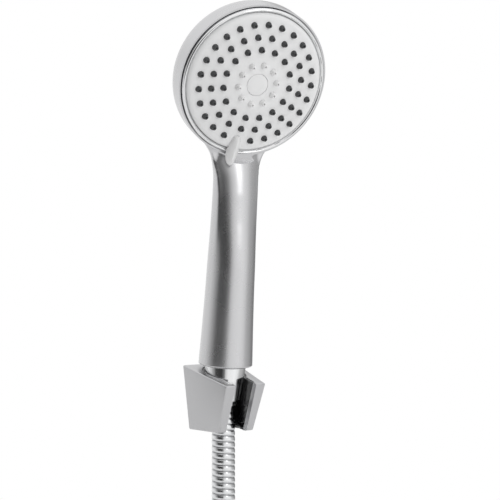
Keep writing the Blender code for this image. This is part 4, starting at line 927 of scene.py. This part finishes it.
nozzle_spots = [spot for ring in RINGS for spot in spots_on(*ring)]
massage_spots = spots_on(MASSAGE_RING, MASSAGE_COUNT)
PLATE_BORE = CAP_RADIUS + 0.18 * MM
BORE_BREAK = 0.15 * MM
EDGE_BREAK = 0.3 * MM
plate_outline = [(PLATE_BORE, 4.2 * MM), (PLATE_BORE, plate_height(CAP_RADIUS) - BORE_BREAK)]
plate_outline += dome(PLATE_BORE + BORE_BREAK, PLATE_RADIUS - EDGE_BREAK, 0, 40)
plate_outline += [(PLATE_RADIUS, plate_height(PLATE_RADIUS) - EDGE_BREAK)]
plate_outline += dome(PLATE_BORE, PLATE_RADIUS, PLATE_THICKNESS)[:0:-1]
plate_mesh = carved(
    turned_mesh("plate", plate_outline, 144),
    ("DIFFERENCE", pegs_mesh("nozzle_holes", nozzle_spots, NOZZLE_BASE + 0.12 * MM)),
    ("DIFFERENCE", pegs_mesh("massage_holes", massage_spots, MASSAGE_BASE + 0.10 * MM)),
)
plate_mesh.transform(face_place)
shaded(plate_mesh, 35)
pale_plastic = finish("pale_plastic", (0.88, 0.885, 0.89), 0.38)
mottle(pale_plastic, 90, (0.95, 0.953, 0.955), (0.975, 0.977, 0.98), "Base Color")
grain(pale_plastic, 2600, 0.25, 0.00004)
piece("spray_plate", plate_mesh, pale_plastic, "spray_face", "face_plastic", "face_plate")

cap_outline = [
    (0, 5.0 * MM),
    (CAP_RADIUS, 5.0 * MM),
    (CAP_RADIUS, plate_height(CAP_RADIUS) - 0.25 * MM),
    (CAP_RADIUS - 0.1 * MM, plate_height(CAP_RADIUS) - 0.05 * MM),
    (CAP_RADIUS - 0.3 * MM, plate_height(CAP_RADIUS) + 0.05 * MM),
    (CAP_RADIUS * 0.5, PLATE_CROWN + 0.05 * MM),
    (0, PLATE_CROWN + 0.1 * MM),
]
cap_mesh = shaded(turned_mesh("cap", cap_outline, 96, face_place), 40)
piece("middle_cap", cap_mesh, pale_plastic, "spray_face", "face_plastic", "centre_cap")

# Nozzles: one dark grey silicone mat behind the plate, whose soft conical nozzles stand out through
# it and are rubbed clean with a finger. Inside them a white plastic insert carries ten harder massage
# nozzles. Every nozzle ends flat, round a small sunk hole.


def nozzle_mesh(name, base, tip, step, height, hole, hole_depth, sides=20):
    """One nozzle about Z, from under the plate to its pierced tip."""
    outline = [
        (0, -2.2 * MM),
        (base, -2.2 * MM),
        (base, step),
        (tip + 0.12 * MM, height - 0.15 * MM),
        (tip, height),
        (hole, height),
        (hole * 0.8, height - hole_depth),
        (0, height - hole_depth),
    ]
    return turned_mesh(name, outline, sides)


tree, given, result = node_tree(
    "ring_of_nozzles",
    Nozzle="Object",
    Radius="Float",
    Height="Float",
    Places="Int",
    First="Int",
    Material="Material",
)
link = tree.links.new
places = tree.nodes.new("GeometryNodeMeshCircle")
turn_ring = tree.nodes.new("GeometryNodeTransform")
turn_ring.inputs["Rotation"].default_value = (0, 0, -math.pi / 2)
lift = tree.nodes.new("ShaderNodeCombineXYZ")
unused = tree.nodes.new("GeometryNodeDeleteGeometry")
place_index = tree.nodes.new("GeometryNodeInputIndex")
before_first = math_node(tree, "LESS_THAN", place_index.outputs[0], given.outputs["First"])
one_nozzle = tree.nodes.new("GeometryNodeObjectInfo")
stand = tree.nodes.new("GeometryNodeInstanceOnPoints")
realise = tree.nodes.new("GeometryNodeRealizeInstances")
paint = tree.nodes.new("GeometryNodeSetMaterial")
link(given.outputs["Places"], places.inputs["Vertices"])
link(given.outputs["Radius"], places.inputs["Radius"])
link(given.outputs["Height"], lift.inputs["Z"])
link(places.outputs["Mesh"], turn_ring.inputs["Geometry"])
link(lift.outputs["Vector"], turn_ring.inputs["Translation"])
link(turn_ring.outputs["Geometry"], unused.inputs["Geometry"])
link(before_first, unused.inputs["Selection"])
link(given.outputs["Nozzle"], one_nozzle.inputs["Object"])
link(unused.outputs["Geometry"], stand.inputs["Points"])
link(one_nozzle.outputs["Geometry"], stand.inputs["Instance"])
link(stand.outputs["Instances"], realise.inputs["Geometry"])
link(realise.outputs["Geometry"], paint.inputs["Geometry"])
link(given.outputs["Material"], paint.inputs["Material"])
link(paint.outputs["Geometry"], result.inputs["Geometry"])


def nozzles_mesh(name, one, rings, backing, material):
    """Rings of one nozzle on their backing disc, as one mesh in the face's place."""
    sample = in_scene(name, one)
    bm = bmesh.new()
    bm.from_mesh(backing)
    for reach, count, first in rings:
        ring_mesh = worked(
            in_scene("ring", bpy.data.meshes.new("ring")),
            tree,
            Nozzle=sample,
            Radius=reach,
            Height=plate_height(reach),
            Places=count,
            First=first,
            Material=material,
        )
        bm.from_mesh(ring_mesh)
    bpy.data.objects.remove(sample)
    return shaded(mesh_from(bm, name, face_place), 35)


MAT_TOP = PLATE_THICKNESS + GAP
MAT_THICKNESS = 1 * MM
INSERT_RADIUS = 16.4 * MM
INSERT_BORE = 7.8 * MM


def backing_mesh(name, inner, outer, steps):
    """The thin domed disc behind the plate that carries nozzles, between two radii."""
    outline = dome(inner, outer, MAT_TOP) + dome(inner, outer, MAT_TOP + MAT_THICKNESS)[::-1]
    return turned_mesh(name, outline, steps)


grey_silicone = finish("grey_silicone", (0.055, 0.057, 0.06), 0.5)
mottle(grey_silicone, 420, (0.045, 0.047, 0.05), (0.07, 0.072, 0.075), "Base Color")
grain(grey_silicone, 2500, 0.2, 0.00003)
soft_nozzle = nozzle_mesh(
    "soft_nozzle",
    NOZZLE_BASE,
    tip=1.1 * MM,
    step=0.2 * MM,
    height=2.4 * MM,
    hole=0.55 * MM,
    hole_depth=1.2 * MM,
)
mat_backing = backing_mesh("mat", INSERT_RADIUS + GAP, EDGE_START, 96)
mat_mesh = nozzles_mesh("nozzles", soft_nozzle, RINGS, mat_backing, grey_silicone)
piece("soft_nozzles", mat_mesh, grey_silicone, "spray_face", "nozzle_silicone", "nozzle_mat")

white_plastic = finish("white_plastic", (0.88, 0.88, 0.88), 0.3)
mottle(white_plastic, 120, (0.93, 0.93, 0.93), (0.96, 0.96, 0.96), "Base Color")
hard_nozzle = nozzle_mesh(
    "hard_nozzle",
    MASSAGE_BASE,
    tip=0.95 * MM,
    step=0.8 * MM,
    height=3.15 * MM,
    hole=0.5 * MM,
    hole_depth=3.0 * MM,
    sides=24,
)
insert_mesh = nozzles_mesh(
    "massage",
    hard_nozzle,
    ((MASSAGE_RING, MASSAGE_COUNT, 0),),
    backing_mesh("insert", INSERT_BORE, INSERT_RADIUS, 64),
    white_plastic,
)
piece("massage_nozzles", insert_mesh, white_plastic, "spray_face", "white_plastic", "massage_insert")

# Rim: a chromed ring snapped round the face plate, with a rounded outer edge and a narrow slope
# inside it. It turns with the plate inside the shell's lip.

RIM_RADIUS = 43.8 * MM
RIM_HEIGHT = 2.4 * MM
RIM_FOOT = -3.4 * MM
rim_outline = [
    (PLATE_RADIUS + GAP, RIM_FOOT),
    (RIM_RADIUS, RIM_FOOT),
    (RIM_RADIUS, 1.2 * MM),
    (RIM_RADIUS - 0.1 * MM, 1.7 * MM),
    (RIM_RADIUS - 0.35 * MM, 2.1 * MM),
    (RIM_RADIUS - 0.7 * MM, 2.34 * MM),
    (RIM_RADIUS - 1.05 * MM, RIM_HEIGHT),
    (RIM_RADIUS - 1.35 * MM, 2.25 * MM),
    (PLATE_RADIUS + GAP + 0.2 * MM, 1.4 * MM),
    (PLATE_RADIUS + GAP, 1.0 * MM),
]
rim_mesh = shaded(turned_mesh("rim", rim_outline, 192, face_place), 50)
bright_chrome = finish("bright_chrome", (0.88, 0.885, 0.89), 0.06, 1.0)
mottle(bright_chrome, 300, 0.04, 0.1)
piece("chrome_rim", rim_mesh, bright_chrome, "spray_face", "rim_chrome", "face_rim")

# Lever: a glossy white plastic wedge with a ridge along its back, pegged through the plate. It stands
# over the rim, so that a thumb can turn the face from one spray to the next.

TAB_START = 32.3 * MM
TAB_REACH = 50.4 * MM
TAB_HALF_WIDTH = 3.5 * MM
TAB_RISE = 4.4 * MM
TAB_LIFT = 0.36  # slope of its underside past the rim
# Share of the way from its root to its tip, then its width and its rise there
TAB_SECTIONS = (
    (0.00, 0.50, 0.04),
    (0.10, 0.66, 0.36),
    (0.30, 0.84, 0.66),
    (0.52, 1.00, 0.92),
    (0.72, 0.96, 0.90),
    (0.88, 0.72, 0.62),
    (0.97, 0.40, 0.36),
    (1.00, 0.16, 0.26),
)
EXTRA_WIDTH = 1.04  # made larger by what the rounding takes off again
EXTRA_RISE = 1.03
RIDGE_POINT = 4
FLOOR_POINTS = {0, 1}
rings = []
for share, width, rise in TAB_SECTIONS:
    reach = TAB_START + (TAB_REACH - TAB_START) * share
    if reach < EDGE_START:
        low = plate_height(reach) + GAP
    else:
        low = max(RIM_HEIGHT, plate_height(reach)) + GAP + TAB_LIFT * max(0.0, reach - RIM_RADIUS)
    half = TAB_HALF_WIDTH * width * EXTRA_WIDTH
    top = low + 0.5 * MM + TAB_RISE * rise * EXTRA_RISE
    section = (
        (-half, low),
        (half, low),
        (half, low + (top - low) * 0.45),
        (half * 0.30, low + (top - low) * 0.92),
        (0, top),
        (-half * 0.30, low + (top - low) * 0.92),
        (-half, low + (top - low) * 0.45),
    )
    rings.append([(x, -reach, z) for x, z in section])
lever_mesh = loft_mesh("lever", rings)
crease = lever_mesh.attributes.new("crease_edge", "FLOAT", "EDGE")
for edge in lever_mesh.edges:
    points = {index % len(rings[0]) for index in edge.vertices}
    if points == {RIDGE_POINT}:
        crease.data[edge.index].value = 0.55
    elif points <= FLOOR_POINTS:
        crease.data[edge.index].value = 0.7
lever_host = in_scene("lever", lever_mesh)
lever_rounding = lever_host.modifiers.new("rounding", "SUBSURF")
lever_rounding.levels = 3
lever_rounding.render_levels = 3
lever_mesh = plain_mesh(lever_host)
lever_mesh.transform(face_place)
lever_mesh.shade_smooth()
gloss_white = finish("gloss_white", (0.90, 0.90, 0.90), 0.16)
mottle(gloss_white, 150, 0.13, 0.22)
gloss_white.node_tree.nodes["Principled BSDF"].inputs["Coat Weight"].default_value = 0.5
piece("lever", lever_mesh, gloss_white, "spray_face", "white_plastic", "setting_lever")

# Cone nuts: chromed brass nuts that screw the hose on by hand, one to the handset, where its cone
# also sits in the holder, and one to the water supply at the hose's other end.

FERRULE_RADIUS = 8.2 * MM
NUT_BORE = 10.6 * MM
FLANGE_ROOM = 9.4 * MM
FLANGE_TOP = -10.3 * MM
NUT_SHOULDER = -15 * MM
nut_outline = [
    (NUT_BORE, -0.5 * MM),
    (NUT_TOP_RADIUS - 0.5 * MM, -0.5 * MM),
    (NUT_TOP_RADIUS - 0.15 * MM, -0.65 * MM),
    (NUT_TOP_RADIUS, -1.0 * MM),
    (NUT_BOTTOM_RADIUS + 0.12 * MM, -NUT_LENGTH + 0.8 * MM),
    (NUT_BOTTOM_RADIUS - 0.05 * MM, -NUT_LENGTH + 0.3 * MM),
    (NUT_BOTTOM_RADIUS - 0.5 * MM, -NUT_LENGTH),
    (FERRULE_RADIUS + GAP, -NUT_LENGTH),
    (FERRULE_RADIUS + GAP, NUT_SHOULDER),
    (FLANGE_ROOM, NUT_SHOULDER),
    (FLANGE_ROOM, FLANGE_TOP),
    (NUT_BORE, FLANGE_TOP),
]
nut_chrome = finish("nut_chrome", (0.86, 0.865, 0.87), 0.08, 1.0)
mottle(nut_chrome, 210, 0.05, 0.14)
cone_mesh = shaded(turned_mesh("cone", nut_outline, 96, handset_place), 35)
piece("cone_nut_skin", cone_mesh, nut_chrome, "handset", "chrome", "cone_nut")
end_seat = coil_end + Vector((-END_STRAIGHT - HOSE_TO_SEAT * MM, 0, 0))
end_place = Matrix.Translation(end_seat) @ Matrix.Rotation(-math.pi / 2, 4, "Y")
end_mesh = shaded(turned_mesh("end_nut", nut_outline, 96, end_place), 35)
piece("supply_nut", end_mesh, nut_chrome, "end_nut", "chrome", "end_nut")

# Fittings inside the two nuts: a stamped steel ferrule crimped round the hose, a turned brass tail
# with a flange that the nut pulls up, and a black rubber washer against the thread's end.

crimped_steel = finish("crimped_steel", (0.62, 0.62, 0.63), 0.24, 1.0)
mottle(crimped_steel, 800, 0.2, 0.3)
turned_brass = finish("turned_brass", (0.78, 0.60, 0.30), 0.28, 1.0)
mottle(turned_brass, 600, 0.22, 0.34)
washer_rubber = finish("washer_rubber", (0.02, 0.02, 0.02), 0.7)
mottle(washer_rubber, 500, (0.015, 0.015, 0.015), (0.03, 0.03, 0.03), "Base Color")
grain(washer_rubber, 2500, 0.2, 0.00003)


def dress(name, material):
    """Gives a carried-over CAD node its own finish."""
    node = bpy.data.objects[name]
    node.data.materials.clear()
    node.data.materials.append(material)


for end in ("cone", "end"):
    dress(end + "_ferrule", crimped_steel)
    dress(end + "_tail", turned_brass)
    dress(end + "_washer", washer_rubber)

# Ties: two broad dark rubber bands that hold the hose's stored turns together, one near the top of
# the coil, where the free end lies on it, and one opposite. They come off when the hose is fitted.

TIE_WALL = 1.2 * MM
TIE_HALF_WIDTH = 4.5 * MM
TIE_CORNER = 5 * MM
TIE_ROUNDING = 0.45 * MM
COIL_HALF = HOSE_DIAMETER / 2 + GAP
tie_rubber = finish("tie_rubber", (0.09, 0.09, 0.10), 0.6)
mottle(tie_rubber, 300, (0.07, 0.07, 0.08), (0.11, 0.11, 0.12), "Base Color")
grain(tie_rubber, 1800, 0.25, 0.00005)


def band_mesh(name, angle, rear, front):
    """A flat rubber loop with round corners round the coil's turns, at this angle from +X."""
    low = COIL_RADIUS - COIL_HALF - GAP
    high = COIL_RADIUS + COIL_HALF + GAP
    middle = Vector(((low + high) / 2, (rear + front) / 2))
    reach = Vector(((high - low) / 2, (rear - front) / 2 + GAP))
    corner = TIE_CORNER
    rows = []
    for wall in (0.0, TIE_WALL):
        ring = []
        for quarter, (sx, sy) in enumerate(((1, 1), (-1, 1), (-1, -1), (1, -1))):
            for step in range(9):
                turn = math.pi / 2 * (quarter + step / 8)
                ring.append(
                    (
                        middle.x + sx * (reach.x - corner) + (corner + wall) * math.cos(turn),
                        middle.y + sy * (reach.y - corner) + (corner + wall) * math.sin(turn),
                    )
                )
        rows.append(ring)
    bm = bmesh.new()
    loops = []
    for ring, side in ((rows[0], -1), (rows[0], 1), (rows[1], 1), (rows[1], -1)):
        loops.append([bm.verts.new((x, y, side * TIE_HALF_WIDTH)) for x, y in ring])
    for one, two in zip(loops, loops[1:] + loops[:1]):
        for i in range(len(one)):
            j = (i + 1) % len(one)
            bm.faces.new((one[i], one[j], two[j], two[i]))
    bmesh.ops.recalc_face_normals(bm, faces=bm.faces)
    place = Matrix.Translation((0, 0, COIL_CENTRE_Z)) @ Matrix.Rotation(-angle, 4, "Y")
    return rounded(mesh_from(bm, name, place), TIE_ROUNDING, 3, 50)


COIL_FRONT = coil_end.y - COIL_HALF
upper_tie = piece(
    "upper_tie",
    band_mesh("upper_tie", math.radians(75), HOSE_Y - COIL_HALF, COIL_FRONT),
    tie_rubber,
    "hose_set",
    "tie_rubber",
    "hose_tie_upper",
)
lower_tie = piece(
    "lower_tie",
    band_mesh("lower_tie", math.radians(255), HOSE_Y + COIL_HALF, COIL_FRONT),
    tie_rubber,
    "hose_set",
    "tie_rubber",
    "hose_tie_lower",
)

# Working parts inside the handset: a moulded water chamber, tube and diverter plate, a brass inlet
# nipple glued in the handle's end, steel screws, springs and click pin, and black rubber seals.

natural_plastic = finish("natural_plastic", (0.66, 0.65, 0.60), 0.45)
mottle(natural_plastic, 150, (0.63, 0.62, 0.57), (0.69, 0.68, 0.63), "Base Color")
for name in ("water_tube", "water_chamber", "diverter_plate"):
    dress(name, natural_plastic)
dress("inlet_nipple", turned_brass)
bright_steel = finish("bright_steel", (0.66, 0.66, 0.67), 0.2, 1.0)
mottle(bright_steel, 900, 0.16, 0.26)
for name in (
    "fixing_screw_upper",
    "fixing_screw_lower",
    "centre_screw",
    "click_pin",
    "click_spring",
    "port_spring",
):
    dress(name, bright_steel)
for name in ("port_seal", "centre_seal"):
    dress(name, washer_rubber)
